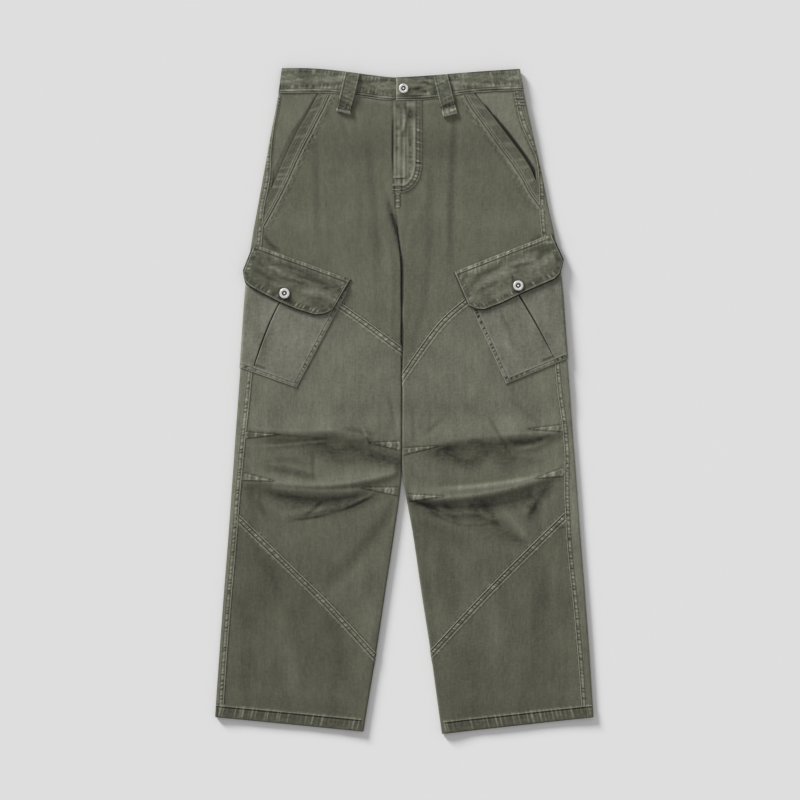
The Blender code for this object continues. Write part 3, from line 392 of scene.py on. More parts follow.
def lift(level):
    """How far the whole section is raised by what lies under it."""
    waist, foot, top = LIFTS["waist"]
    pocket, low, on, off, high = LIFTS["pocket"]
    return waist * ease(level, foot, top) + pocket * ease(level, low, on) * (1 - ease(level, off, high))


print("creases:", {side: len(CREASES[side]["height"]) for side in MIRROR})

# %% [markdown]
# One function takes a flat position to its place in the room. It finds where the position lies in
# the rolled section of the garment, adds the height of the form, and moves out along the normal by
# the rise. Every shell, seam and stitch is made with it, so they all fit each other.


# %% From flat positions to places
def inner_turn(level):
    return np.pi / 2 * (1 - ease(level, CROTCH, CROTCH + CROTCH_BLEND))


def inner_end(side, level):
    """Flat position of a panel's inner end, a little past the plan because of the roll."""
    turn = inner_turn(level)
    return inner_line(side, level) - FOLD * (turn - np.sin(turn)) + GAP / 2 * turn


def fold_start(side, level):
    return side_fold(side, level) - FOLD


def fold_end(side, level):
    return fold_start(side, level) + np.pi * FOLD


def underside(side, across, level):
    """Flat position of the point of the underside that lies under a position of the front."""
    return fold_start(side, level) + fold_end(side, level) - across


def section(side, across, level):
    """Where a flat position lies in the section of the garment: plan position and two angles."""
    start = fold_start(side, level)
    over = across - start
    angle = np.clip(over / FOLD, 0, np.pi)
    plan = start + FOLD * np.sin(angle) + np.minimum(over, 0) - np.maximum(over - np.pi * FOLD, 0)
    turn = inner_turn(level)
    bend = inner_line(side, level) + FOLD * np.sin(turn)
    past = np.maximum(bend - plan, 0)
    rolled = np.minimum(past / FOLD, turn)
    spare = past - FOLD * rolled
    plan = np.where(past > 0, bend - FOLD * np.sin(rolled) - spare * np.cos(turn), plan)
    return plan, angle, rolled


def place(side, across, level, rise=0.0):
    """Points of the cloth's outer skin at flat positions, moved out by rise, in millimetres."""
    across, level, rise = np.broadcast_arrays(
        np.asarray(across, float), np.asarray(level, float), np.asarray(rise, float)
    )
    plan, angle, rolled = section(side, across, level)
    front = np.clip(np.cos(angle), 0, 1) * np.cos(rolled)

    def height(at_plan, at_level):
        return lift(at_level) + front * front_form(side, at_plan, at_level)

    up = np.cos(angle) * np.cos(rolled)
    step = 0.5
    slope_across = (height(plan + step, level) - height(plan - step, level)) / (2 * step)
    slope_level = (height(plan, level + step) - height(plan, level - step)) / (2 * step)
    normal = np.stack(
        (np.sin(angle) - np.sin(rolled) - slope_across * up, -slope_level * up, up), axis=-1
    )
    normal = normal / np.linalg.norm(normal, axis=-1, keepdims=True)
    points = np.stack((plan, level, height(plan, level) + FOLD * (1 + up)), axis=-1)
    points = points + rise[..., None] * normal
    points[..., 0] *= MIRROR[side]
    return points


def over_front(side, across, level, rise):
    """Points straight above the front, carried on flat past the side fold."""
    inside = np.minimum(across, fold_start(side, level))
    height = 2 * FOLD + lift(level) + front_form(side, inside, level) + rise
    return np.stack((MIRROR[side] * across, level + 0 * across, height), axis=-1)


print("waistband's middle lies at", place("left", 0, 490).round(1))

# %% [markdown]
# ## Shells
# A cut piece is a grid of flat positions between four lines of the cut. The grid is placed twice,
# once as the outer skin and once as the inner one, and a rim of faces closes the two. Each shell
# keeps its flat positions as a UV map, so that the weave follows the cloth, and two point values:
# "fade", from -1 in hollows, grooves and slits, darker by painted shade and less wear, to 1 on rubbed
# ridges and painted highlights, and "mottle", where layers of cloth have worn unevenly.


# %% Grids and shells
def spread(near, between, far):
    """Stations on a length as (offset, share): fixed near both ends and even between them."""
    near, far = np.array(near, float), np.array(far, float)
    share = np.arange(1, between + 1) / (between + 1)
    offset = near[-1] * (1 - share) - far[-1] * share
    return (
        np.concatenate((near, offset, -far[::-1])),
        np.concatenate((0 * near, share, 0 * far + 1)),
    )


def even(between):
    return spread((0.0,), between, (0.0,))


def measure(parts, *others):
    """Stations through consecutive parts (start, end, stations), at each value of the others."""
    result = np.empty(others[0].shape)
    first = 0
    for start, end, (offset, share) in parts:
        last = first + len(offset)
        a, b = (line(*(other[first:last] for other in others)) for line in (start, end))
        length = np.abs(b - a)
        result[first:last] = a + np.sign(b - a) * (offset[:, None] + share[:, None] * length)
        first = last - 1
    return result


def count(parts):
    return 1 + sum(len(stations[0]) - 1 for _, _, stations in parts)


def grid(side, columns, rows):
    """Flat positions of a grid whose columns run between lines across and rows between levels."""
    level = np.zeros((count(rows), count(columns)))
    for _ in range(24):
        across = measure(columns, level.T).T
        plan, angle, _ = section(side, across, level)
        level = measure(rows, plan, angle > np.pi / 2)
    return across, level


def line(function, side, offset=0.0):
    """A line of the cut as a function of the grid's positions, moved by an offset."""
    return lambda *at: function(side, *at) + offset


def fixed(value):
    return lambda across, under: 0 * across + value


def quads(first, second):
    return np.stack((first[:-1], first[1:], second[1:], second[:-1]), axis=-1)


def new_object(name, data):
    made = bpy.data.objects.new(name, data)
    bpy.context.scene.collection.objects.link(made)
    return made


def make_mesh(name, points, faces, flat, values, material):
    """An object from points in millimetres, its faces turned out, with UVs and point values."""
    corners = points[faces]
    middle = points.mean(axis=0)
    first, second = corners[:, 1] - corners[:, 0], corners[:, 2] - corners[:, 0]
    third = corners[:, 3] - corners[:, 0]
    area = np.cross(first, second) + np.cross(second, third)
    if np.einsum("ij,ij->", corners.mean(axis=1) - middle, area) < 0:
        faces = faces[:, ::-1]
    mesh = bpy.data.meshes.new(name)
    mesh.from_pydata((points * MM).tolist(), [], faces.tolist())
    mesh.materials.append(material)
    mesh.uv_layers.new(name="flat").uv.foreach_set(
        "vector", (flat * MM)[faces].astype(np.float32).ravel()
    )
    for key, value in values.items():
        layer = mesh.attributes.new(key, "FLOAT", "POINT")
        layer.data.foreach_set("value", value.astype(np.float32).ravel())
    mesh.shade_smooth()
    return new_object(name, mesh)


def skins(side, across, level, outer, inner):
    """The outer and the inner skin of a wall at flat positions, from their rises."""
    return [place(side, across, level, rise) for rise in (outer, inner)]


def make_shell(name, outer, inner, flat, material, fade=0.0, mottle=0.0, sharp=50.0):
    """A closed wall between two grids of points with the same rows and columns."""
    rows, columns = outer.shape[:2]
    top = np.arange(rows * columns).reshape(rows, columns)
    low = top + rows * columns
    rim = np.concatenate((top[0], top[1:, -1], top[-1, -2::-1], top[-2::-1, 0]))
    faces = [quads(rim[::-1], (rim + rows * columns)[::-1])]
    for k in range(rows - 1):
        faces += [quads(top[k], top[k + 1]), quads(low[k + 1], low[k])]
    points = np.concatenate((outer.reshape(-1, 3), inner.reshape(-1, 3)))
    flat = np.stack(np.broadcast_arrays(*flat), axis=-1).reshape(-1, 2)
    values = {
        "fade": np.tile((fade + np.zeros((rows, columns))).ravel(), 2),
        "mottle": np.tile((mottle + np.zeros((rows, columns))).ravel(), 2),
    }
    piece = make_mesh(name, points, np.concatenate(faces), np.tile(flat, (2, 1)), values, material)
    piece.data.set_sharp_from_angle(angle=np.radians(sharp))
    return piece


print("a grid of 3 mm on a leg has about", int(270 / 3), "columns")

# %% [markdown]
# ## Washed cotton twill
# The cloth is piece-dyed olive twill that was washed until it faded. Up close it has slanting ribs
# less than a millimetre apart; from a step back one sees fine streaks along the warp, soft blotches,
# and mottled places where several layers rubbed together. The point value "fade" makes ridges paler,
# by wear and painted light, and hollows darker, by less wear and painted shade. All the cloth
# materials share one node group for this, so that they age alike. It reads the UV map, which holds
# the flat position in metres.


# %% Node group: washed twill
def add_node(tree, kind, inputs, **settings):
    """A node with its settings, and its inputs linked from sockets or set to values."""
    made = tree.nodes.new(kind)
    for key, value in settings.items():
        setattr(made, key, value)
    for key, value in inputs.items():
        if isinstance(value, bpy.types.NodeSocket):
            tree.links.new(value, made.inputs[key])
        else:
            made.inputs[key].default_value = value
    return made


def math(tree, operation, first, second=0.0, third=0.0):
    inputs = {0: first, 1: second, 2: third}
    return add_node(tree, "ShaderNodeMath", inputs, operation=operation).outputs[0]


def scaled(tree, vector, scale):
    inputs = {0: vector, 1: scale}
    return add_node(tree, "ShaderNodeVectorMath", inputs, operation="MULTIPLY").outputs[0]


def noise(tree, vector, scale, detail, rough=0.5):
    """Even noise from -0.5 to 0.5, with its own scale along each axis."""
    inputs = {"Vector": scaled(tree, vector, scale), "Scale": 1.0, "Detail": detail, "Roughness": rough}
    made = add_node(tree, "ShaderNodeTexNoise", inputs, noise_dimensions="2D")
    return math(tree, "SUBTRACT", made.outputs[0], 0.5)


def mix(tree, share, first, second, clamp=True):
    inputs = {0: share, 6: first, 7: second}
    return add_node(tree, "ShaderNodeMix", inputs, data_type="RGBA", clamp_factor=clamp).outputs[2]


def new_material(name, values):
    """A material, its node tree and its shader, with the shader's own values set."""
    material = bpy.data.materials.new(name)
    material.use_nodes = True
    shader = material.node_tree.nodes["Principled BSDF"]
    for key, value in values.items():
        shader.inputs[key].default_value = value
    return material, material.node_tree, shader


def add_bump(tree, shader, height, strength, distance):
    bump = add_node(tree, "ShaderNodeBump", {"Strength": strength, "Distance": distance, "Height": height})
    tree.links.new(bump.outputs[0], shader.inputs["Normal"])


def use_group(tree, shader, group, values, strength, distance):
    """Gives a shader the colour, roughness and height of a node group."""
    looks = add_node(tree, "ShaderNodeGroup", values, node_tree=group).outputs
    tree.links.new(looks["Color"], shader.inputs["Base Color"])
    tree.links.new(looks["Roughness"], shader.inputs["Roughness"])
    add_bump(tree, shader, looks["Height"], strength, distance)


def new_group(name, inputs, outputs):
    """A shader node group with named sockets, and the nodes that bring them in and out."""
    tree = bpy.data.node_groups.new(name, "ShaderNodeTree")
    for label, (kind, value) in inputs.items():
        socket = tree.interface.new_socket(label, in_out="INPUT", socket_type="NodeSocket" + kind)
        socket.default_value = value
    for label, kind in outputs.items():
        tree.interface.new_socket(label, in_out="OUTPUT", socket_type="NodeSocket" + kind)
    return tree, tree.nodes.new("NodeGroupInput").outputs, tree.nodes.new("NodeGroupOutput").inputs


def make_twill_group():
    tree, given, out = new_group(
        "washed twill",
        {
            "Place": ("Vector", (0.0, 0.0, 0.0)),
            "Fade": ("Float", 0.0),
            "Mottle": ("Float", 0.0),
            "Dye": ("Color", (0.1, 0.1, 0.1, 1.0)),
            "Faded": ("Color", (0.2, 0.2, 0.2, 1.0)),
            "Streaks": ("Float", 0.3),
            "Blotches": ("Float", 0.2),
            "Rib Width": ("Float", 0.0008),
        },
        {"Color": "Color", "Roughness": "Float", "Height": "Float"},
    )
    streak = noise(tree, given["Place"], (420.0, 70.0, 1.0), 3.0)
    slub = noise(tree, given["Place"], (120.0, 14.0, 1.0), 2.0)
    blotch = noise(tree, given["Place"], (24.0, 17.0, 1.0), 7.0, 0.66)
    crinkle = noise(tree, given["Place"], (190.0, 250.0, 1.0), 4.0, 0.66)
    patches = noise(tree, given["Place"], (110.0, 230.0, 1.0), 3.0)
    streaks = math(tree, "MULTIPLY_ADD", slub, 0.5, math(tree, "MULTIPLY_ADD", streak, 0.7, crinkle))
    dyed = math(tree, "MULTIPLY_ADD", streaks, given["Streaks"], 1.0)
    dyed = math(tree, "MULTIPLY_ADD", blotch, given["Blotches"], dyed)
    dyed = math(tree, "MULTIPLY_ADD", math(tree, "MULTIPLY", patches, given["Mottle"]), 1.3, dyed)
    # A negative fade darkens the colour: painted shade and less wear. A positive one mixes towards the faded
    # colour: wear and painted light.
    unworn_and_painted_shade = math(tree, "MINIMUM", given["Fade"], 0.0)
    dyed = math(tree, "MULTIPLY", dyed, math(tree, "MULTIPLY_ADD", unworn_and_painted_shade, 0.72, 1.0))
    worn_and_painted_light = math(tree, "MINIMUM", math(tree, "MAXIMUM", given["Fade"], 0.0), 2.2)
    colour = mix(tree, worn_and_painted_light, given["Dye"], given["Faded"], clamp=False)
    inputs = {0: colour, 3: math(tree, "MAXIMUM", dyed, 0.15)}
    shaded = add_node(tree, "ShaderNodeVectorMath", inputs, operation="SCALE").outputs[0]
    tree.links.new(shaded, out["Color"])
    parts = add_node(tree, "ShaderNodeSeparateXYZ", {0: given["Place"]}).outputs
    slant = math(tree, "DIVIDE", math(tree, "ADD", parts[0], parts[1]), given["Rib Width"])
    rib = math(tree, "SINE", math(tree, "MULTIPLY", slant, 2 * np.pi))
    height = math(tree, "MULTIPLY_ADD", rib, 0.22, math(tree, "MULTIPLY", streaks, 1.6))
    height = math(tree, "MULTIPLY_ADD", math(tree, "MULTIPLY", patches, given["Mottle"]), 2.5, height)
    tree.links.new(height, out["Height"])
    rough = math(tree, "MULTIPLY_ADD", given["Fade"], 0.04, 0.88)
    tree.links.new(rough, out["Roughness"])
    return tree


twill = make_twill_group()
print("group", twill.name, "has inputs", [item.name for item in twill.interface.items_tree][:8])

# %% [markdown]
# The waistband, hips, legs and cargo pockets were cut from the same roll but rubbed differently, so
# each has its own dye and faded colour. Cotton has a weak sheen from the fibres that stand up; that
# value is set on each shader itself.


# %% Cloth materials
def make_cloth(name, dye, faded, streaks=0.42, blotches=0.62):
    values = {"Specular IOR Level": 0.25, "Sheen Weight": 0.06, "Sheen Roughness": 0.5}
    material, tree, shader = new_material(name, values)
    looks = {"Dye": (*dye, 1.0), "Faded": (*faded, 1.0), "Streaks": streaks, "Blotches": blotches}
    looks["Place"] = add_node(tree, "ShaderNodeUVMap", {}, uv_map="flat").outputs[0]
    for key in ("fade", "mottle"):
        value = add_node(tree, "ShaderNodeAttribute", {}, attribute_name=key)
        looks[key.capitalize()] = value.outputs["Fac"]
    use_group(tree, shader, twill, looks, 0.5, 0.0003)
    return material


CLOTH = {
    "waistband": make_cloth("waistband twill", (0.151, 0.155, 0.111), (0.283, 0.288, 0.226), 0.60, 0.9),
    "hip": make_cloth("hip twill", (0.125, 0.128, 0.0895), (0.262, 0.265, 0.204), 0.48),
    "leg": make_cloth("leg twill", (0.1005, 0.1012, 0.0710), (0.235, 0.240, 0.183), 0.56),
    "pocket": make_cloth("pocket twill", (0.160, 0.162, 0.124), (0.275, 0.277, 0.225), 0.62, 0.8),
    "flap": make_cloth("flap twill", (0.106, 0.109, 0.0755), (0.256, 0.261, 0.200), 0.55, 0.8),
}
print("cloths:", ", ".join(material.name for material in CLOTH.values()))

# %% [markdown]
# ## Thread and metal
# The seams are sewn with tonal cotton thread, a little paler than the cloth. The buttons are stamped
# metal with a dull silver finish: rings with rubbed rims, dark in the hollow.


# %% Thread and button materials
def make_thread(name, colour):
    material, tree, shader = new_material(name, {"Roughness": 0.75, "Sheen Weight": 0.15})
    spot = add_node(tree, "ShaderNodeTexCoord", {}).outputs["Object"]
    made = add_node(tree, "ShaderNodeTexNoise", {"Vector": spot, "Scale": 420.0, "Detail": 2.0})
    pale = tuple(min(1.0, value * 1.35) for value in colour)
    mixed = mix(tree, made.outputs[0], (*colour, 1.0), (*pale, 1.0))
    tree.links.new(mixed, shader.inputs["Base Color"])
    ply = add_node(tree, "ShaderNodeTexNoise", {"Vector": spot, "Scale": 2600.0, "Detail": 1.0})
    add_bump(tree, shader, ply.outputs[0], 0.4, 0.0001)
    return material


def make_metal_group():
    tree, given, out = new_group(
        "rubbed metal",
        {
            "Spot": ("Vector", (0.0, 0.0, 0.0)),
            "Bright": ("Color", (0.8, 0.8, 0.8, 1.0)),
            "Dull": ("Color", (0.4, 0.4, 0.4, 1.0)),
            "Wear": ("Float", 0.0),
        },
        {"Color": "Color", "Roughness": "Float", "Height": "Float"},
    )
    fine = add_node(tree, "ShaderNodeTexNoise", {"Vector": given["Spot"], "Scale": 900.0, "Detail": 3.0})
    wide = add_node(tree, "ShaderNodeTexNoise", {"Vector": given["Spot"], "Scale": 260.0, "Detail": 2.0})
    wear_and_hollow_shade = math(tree, "ADD", given["Wear"], math(tree, "SUBTRACT", wide.outputs[0], 0.5))
    tree.links.new(mix(tree, wear_and_hollow_shade, given["Dull"], given["Bright"]), out["Color"])
    tree.links.new(math(tree, "MULTIPLY_ADD", fine.outputs[0], 0.3, 0.38), out["Roughness"])
    tree.links.new(fine.outputs[0], out["Height"])
    return tree


def make_metal(name, bright, dull):
    material, tree, shader = new_material(name, {"Metallic": 0.6})
    looks = {"Bright": (*bright, 1.0), "Dull": (*dull, 1.0)}
    looks["Spot"] = add_node(tree, "ShaderNodeTexCoord", {}).outputs["Object"]
    looks["Wear"] = add_node(tree, "ShaderNodeAttribute", {}, attribute_name="fade").outputs["Fac"]
    use_group(tree, shader, make_metal_group(), looks, 0.25, 0.0001)
    return material


thread = make_thread("tonal thread", (0.190, 0.191, 0.152))
metal = make_metal("silvered metal", (0.84, 0.83, 0.80), (0.06, 0.06, 0.05))
print("made", thread.name, "and", metal.name)

# %% [markdown]
# ## Seam strips
# A felled seam has its raw edges folded in and two rows of stitching through four layers. After
# washing, the thread has shrunk less than the cloth, so the layers pucker: a ladder of little
# hollows between the rows, uneven in pitch and strength. Puckers of 6 mm need points 1 mm apart,
# far closer than a panel does, so each seam is a strip of its own that lies on its panel and dips
# into it at its inner side. A table gives its section away from the seam.

# %% Section of a seam and its puckers
SIDE_SECTION = table(  # a side seam: positive to the front; a negative pucker makes ticks of painted shade
    EDGE_ROW,
    (-2.8, -0.25, 0.0, 0.0), (-1.7, 0.10, 0.15, 0.0), (-0.9, 0.10, 0.10, 0.0), (0.0, 0.0, -0.75, -0.3),
    (0.8, 0.22, 0.0, -0.4), (1.7, 0.34, 0.35, -0.8), (2.6, 0.34, 0.25, -1.1), (3.6, 0.30, 0.05, -1.2),
    (4.6, 0.20, -0.10, -0.9), (5.4, 0.06, -0.70, -0.2), (6.1, 0.34, 0.30, 0.0), (6.8, 0.52, 1.50, 0.0),
    (7.5, 0.34, 0.30, 0.0), (8.3, 0.08, -0.60, 0.1), (9.4, 0.10, 0.10, 0.4), (11.5, -0.25, 0.0, 0.0),
)
SLANT_SECTION = table(  # a slanting seam: positive to the lower piece
    EDGE_ROW,
    (-7.0, -0.25, 0.0, 0.0), (-5.0, 0.10, 0.05, 0.4), (-3.4, 0.14, 0.05, 0.4), (-2.6, 0.10, -0.60, 0.1),
    (-1.9, 0.40, 0.50, 0.0), (-1.3, 0.60, 2.30, 0.0), (-0.7, 0.40, 0.60, 0.0), (-0.1, 0.0, -1.40, 0.0),
    (0.6, 0.08, -0.70, 0.2), (1.4, 0.40, 0.60, 0.8), (2.6, 0.46, 0.90, 1.1), (3.8, 0.46, 0.85, 1.1),
    (5.0, 0.36, 0.55, 0.8), (5.8, 0.10, -0.60, 0.2), (6.5, 0.0, -1.10, 0.0), (7.2, 0.24, 0.30, 0.1),
    (8.3, 0.38, 0.90, 0.3), (9.6, 0.26, 0.30, 0.4), (11.5, 0.08, 0.0, 0.4), (14.0, -0.25, 0.0, 0.0),
)
SEAM_PITCH = 5.4
SLANT_PITCH = 4.8
HEM_PITCH = 6.4
EDGE_PITCH = 6.4  # of a dart and of a flap's top
POCKET_PITCH = 6.6
PUCKER_MIDDLE = 0.45  # taken off a wave of puckers, so that it goes up and down
PUCKER_RISE = 0.40  # depth of a strong pucker
# how strongly puckers are painted light on their crests and shade in their hollows, besides wear
PUCKER_LIGHT_AND_SHADE = 1.6
PUCKER_SLANT = 0.35  # how far a pucker runs along the seam for each millimetre away from it
STRIP_STEP = 1.0
STRIP_SINK = 0.45
STRIP_ENDS = 0.25  # how far the two ends of a strip sink
TUCK = 1.2  # how far a slanting seam runs into the roll of the inner edge
TUCK_TAKES = 0.97  # share of what is past it that is folded back


def pucker(along, pitch, seed):
    """An uneven wave along a seam: 0 in its hollows, up to 1 on its crests."""
    random = np.random.default_rng(seed)
    crests = np.arange(-3 * pitch, along.max() + 3 * pitch, pitch)
    crests = crests + random.uniform(-0.32, 0.32, len(crests)) * pitch
    strength = random.uniform(0.15, 1.15, len(crests))
    width = 0.23 * pitch * random.uniform(0.6, 1.4, len(crests))
    wave = np.zeros(along.shape)
    for at, high, wide in zip(crests, strength, width):
        wave += high * np.exp(-(((along - at) / wide) ** 2))
    return np.minimum(wave, 1.0)


def resample(path, step):
    """A polyline with points a step apart, and the distance of each point along it."""
    path = np.asarray(path, float)
    distance = np.concatenate(((0,), np.cumsum(np.linalg.norm(np.diff(path, axis=0), axis=1))))
    number = max(int(distance[-1] / step), 2)
    at = np.linspace(0, distance[-1], number + 1)
    return np.stack([np.interp(at, distance, path[:, k]) for k in range(2)], axis=-1), at


def strip_flat(path, away, to_left):
    """Flat positions beside a path: one row for each of its points, one column for each distance."""
    way = np.gradient(path, axis=0)
    kernel = np.ones(9) / 9
    padded = np.pad(way, ((4, 4), (0, 0)), mode="edge")
    way = np.stack([np.convolve(padded[:, k], kernel, mode="valid") for k in range(2)], axis=-1)
    way = way / np.linalg.norm(way, axis=1)[:, None]
    beside = np.stack((-way[:, 1], way[:, 0]), axis=-1) * (1 if to_left else -1)
    return path[:, None] + away[:, None] * beside[:, None]


seams = []  # every strip with the panel that it lies on
stitch_rows = {}  # for each cut piece, the paths of its stitching in millimetres
tack_rows = {}  # and of its bar tacks
THREAD_SIT = 0.12  # height of a thread's middle over the cloth


def sew(panel, points):
    stitch_rows.setdefault(panel, []).append(points)


def tack(panel, points):
    tack_rows.setdefault(panel, []).append(points)


WASH = table(
    "level front back",
    (486, 0.28, 0.38), (230, 0.28, 0.44), (100, 0.28, 0.52), (30, 0.36, 0.54), (-40, 0.36, 0.54),
    (-62, 0.24, 0.57), (-150, 0.16, 0.54), (-185, 0.10, 0.50), (-230, 0.09, 0.42), (-310, 0.08, 0.30),
    (-400, 0.08, 0.22), (-500, 0.08, 0.16),
)
LEG_TO_HIP = (-0.165, 0.98)  # the same colour as a fade of the hip's cloth
ROLL_PAINTED_SHADE_AND_LIGHT = {"right": -0.6, "left": 0.5}  # of the rolled side edge itself: painted shade on the right, painted light on the left


def wash(side, across, level):
    """Broad fading of the legs: most on the thigh, least on the lower leg, more round the side; and the
    painted shade and light of the rolled side.
    """
    front, back = read(WASH, level)
    front = front * ramp(level - lower_seam(side, across), -0.5, 0.5)
    past = ramp(across - seam_line(side, level), -0.5, 0.5)
    rolled = ramp(across - fold_start(side, level), 0.5, 3.0)
    return front * (1 - past) + back * past + ROLL_PAINTED_SHADE_AND_LIGHT[side] * rolled


def base_fade(cloth, side, across, level):
    """Fade that a strip takes over from the panels under it."""
    washed = wash(side, across, level)
    if cloth == "leg":
        return washed
    off_hip = (level < upper_seam(side, across)) | (across > seam_line(side, level))
    return np.where(off_hip, LEG_TO_HIP[0] + LEG_TO_HIP[1] * washed, 0.0)


def make_strip(name, side, path, to_left, panel, cloth, profile, pitch=SEAM_PITCH, seed=1,
               ends=(4.0, 4.0), mottle=0.5, rows=(-1.3,), slant=PUCKER_SLANT, tucked=False):
    """A puckered seam strip beside a path of flat positions, sewn on its panel along its rows."""
    path, along = resample(path, STRIP_STEP)
    away = profile["away"]
    flat = strip_flat(path, away, to_left)
    across, level = flat[..., 0], flat[..., 1]
    if tucked:
        past = np.maximum(inner_line(side, level) - TUCK - across, 0)
        across = across + TUCK_TAKES * past
    wave = pucker(along[:, None] + slant * away, pitch, seed) - PUCKER_MIDDLE
    alive = ramp(along, 0.0, ends[0]) * (1 - ramp(along, along[-1] - ends[1], along[-1]))
    alive = alive[:, None]
    rise = alive * (profile["rise"] + PUCKER_RISE * wave * profile["pucker"]) - STRIP_ENDS * (1 - alive)
    fade = (profile["fade"] + PUCKER_LIGHT_AND_SHADE * wave * profile["pucker"]) * alive
    fade = fade + base_fade(cloth, side, across, level)
    both = skins(side, across, level, rise, -STRIP_SINK)
    piece = make_shell(name, *both, (across, level), CLOTH[cloth], fade, mottle)
    seams.append((piece, panel))
    inside = (along > ends[0]) & (along < along[-1] - ends[1])
    for distance in rows:
        row = strip_flat(path, np.array((distance,)), to_left)[inside, 0]
        row = row[row[:, 0] > inner_line(side, row[:, 1]) - TUCK] if tucked else row
        sit = float(read(profile, distance)[0]) + THREAD_SIT
        sew(panel, place(side, row[:, 0], row[:, 1], sit))


print("section of a felled seam is", np.ptp(SLANT_SECTION["away"]), "mm wide")

# %% [markdown]
# ## Back panels
# The back is one piece per leg. Its edge shows on the front between the side seam and the rolled
# side, and the rest is the underside that the garment lies on, which is flat. Close columns follow
# the roll; the underside needs few.

# %% Back panels
FOLD_SHARES = np.linspace(0, 1, 12)
ROWS_MEET = -110.0  # level at which the rows from the waist meet those from the hem
EDGE_ROLL = (0.0, 0.8, 1.6, 2.4, 3.1, 3.9, 4.7, 5.5, 6.3, 7.1, 8.2, 10.0, 13.0)
panels = {}


def make_panel(name, node, cloth, both, flat, fade=0.0, mottle=0.0, rests_on=("floor",), cut=None):
    """A cut piece from its two skins, kept with its node, slot, flat positions and what it rests on."""
    piece = make_shell(name, *both, flat, CLOTH[cloth], fade, mottle)
    slot = "pocket" if cloth == "flap" else cloth
    panels[name] = {"piece": piece, "node": node, "slot": slot, "cut": cut or flat, "rests_on": rests_on}


def round_side(side, inner, stations):
    """Columns round the rolled side, and on under the garment to an inner line."""
    return [
        (line(fold_start, side), line(fold_end, side), (0 * FOLD_SHARES, FOLD_SHARES)),
        (line(fold_end, side), lambda at: underside(side, inner(side, at), at), stations),
    ]


def make_back(side):
    rolled = round_side(side, inner_end, spread((0.0,), 30, EDGE_ROLL))
    across, level = grid(
        side,
        [(line(side_seam, side), line(fold_start, side), even(3)), *rolled],
        [
            (line(waist_seam, side, -GAP), fixed(ROWS_MEET), even(72)),
            (fixed(ROWS_MEET), line(hem_line, side), spread((0.0,), 44, (0.0, HEM, HEM + 1.0))),
        ],
    )
    both = skins(side, across, level, 0.0, -WALL)
    fade = wash(side, across, level)
    make_panel("back_panel_" + side, "back_" + side, "leg", both, (across, level), fade)


for side in MIRROR:
    make_back(side)
    print("back", side, "has", len(panels["back_panel_" + side]["piece"].data.polygons), "faces")

# %% [markdown]
# ## Front panels
# Three pieces make each front: hip, knee and lower leg, joined on the slant. The knee is shaped by
# stitched darts that taper from a seam to a point, with a pale rubbed edge and a dark outline of
# painted shade.

# %% Knee darts and front panels
DARTS = {
    "right": table(
        "base_across base_level point_across point_level width",
        (253, -53, 197, -52, 10), (256, -118, 206, -125, 12), (5, -70, 54, -65, 14),
        (6, -142, 67, -136, 14),
    ),
    "left": table(
        "base_across base_level point_across point_level width",
        (252, -42, 196, -43, 11), (254, -110, 206, -121, 14), (-3, -79, 55, -70, 11),
        (3, -152, 61, -149, 12),
    ),
}
DART_SECTION = table(  # across a dart's edge, positive inside
    "away rise fade",
    (-3.0, 0.0, 0.0), (-1.6, -0.05, -0.10), (-0.7, -0.15, -0.90), (0.0, 0.05, -0.50), (0.8, 0.45, 0.75),
    (1.8, 0.50, 0.60), (3.2, 0.38, 0.40), (6.0, 0.35, 0.40),
)
CLOSE_ROWS = (0.0, 0.6, 1.2, 2.0, 3.0, 4.5, 6.5)
MOTTLED = 1.3  # how mottled the dark patches of painted shade are, for their depth
KNEE_ZONE = (-32.0, -200.0)
POCKET_CLOSES = 14.0  # below the pocket's seam, over this height the hip comes out to the side seam
WEAR_AND_SHADE_REACH = 5.0  # how far apart the form is compared, to find where it is convex
WEAR_AND_SHADE_GAIN = 1.3
SLIT = table(  # the painted shade of the slit where the two legs roll against each other
    "level half depth",
    (332, 0.6, 0.0), (288, 0.8, 0.6), (240, 1.2, 0.9), (216, 2.2, 1.25), (162, 2.1, 1.25),
    (140, 1.1, 0.8), (116, 2.0, 1.2), (88, 2.0, 1.2), (62, 1.0, 0.8), (20, 0.7, 0.6), (-40, 0.6, 0.0),
)


def inner_shade(side, across, level):
    """Depth of the painted shade in the slit."""
    half, depth = read(SLIT, level)
    return -depth * (1 - ramp(across - inner_line(side, level), half - 0.6, half + 0.9))


def dart_form(side, across, level):
    """Rise and fade that the darts add at flat positions."""
    rise, fade = (np.zeros(np.broadcast(across, level).shape) for _ in range(2))
    fade = fade + inner_shade(side, across, level)
    darts = DARTS[side]
    for k in range(len(darts["width"])):
        length = darts["point_across"][k] - darts["base_across"][k]
        share = (across - darts["base_across"][k]) / length
        middle = darts["base_level"][k] + share * (darts["point_level"][k] - darts["base_level"][k])
        half = darts["width"][k] / 2 * np.clip(1.02 - share, 0, 1)
        from_edge = half - np.abs(level - middle)
        alive = ramp(share, -0.4, -0.3) * (1 - ramp(share, 0.97, 1.06))
        alive = alive * ramp(across - inner_line(side, level), 1.0, 5.0)
        wave = pucker(share * abs(length) + 0.4 * from_edge, EDGE_PITCH, 3 + k) - PUCKER_MIDDLE
        wave = wave * ramp(from_edge, -3.0, 2.0)
        edge_rise, edge_fade = read(DART_SECTION, from_edge)
        rise += alive * (edge_rise + 0.40 * wave)
        fade += alive * (edge_fade + 1.7 * wave)
    return rise, fade


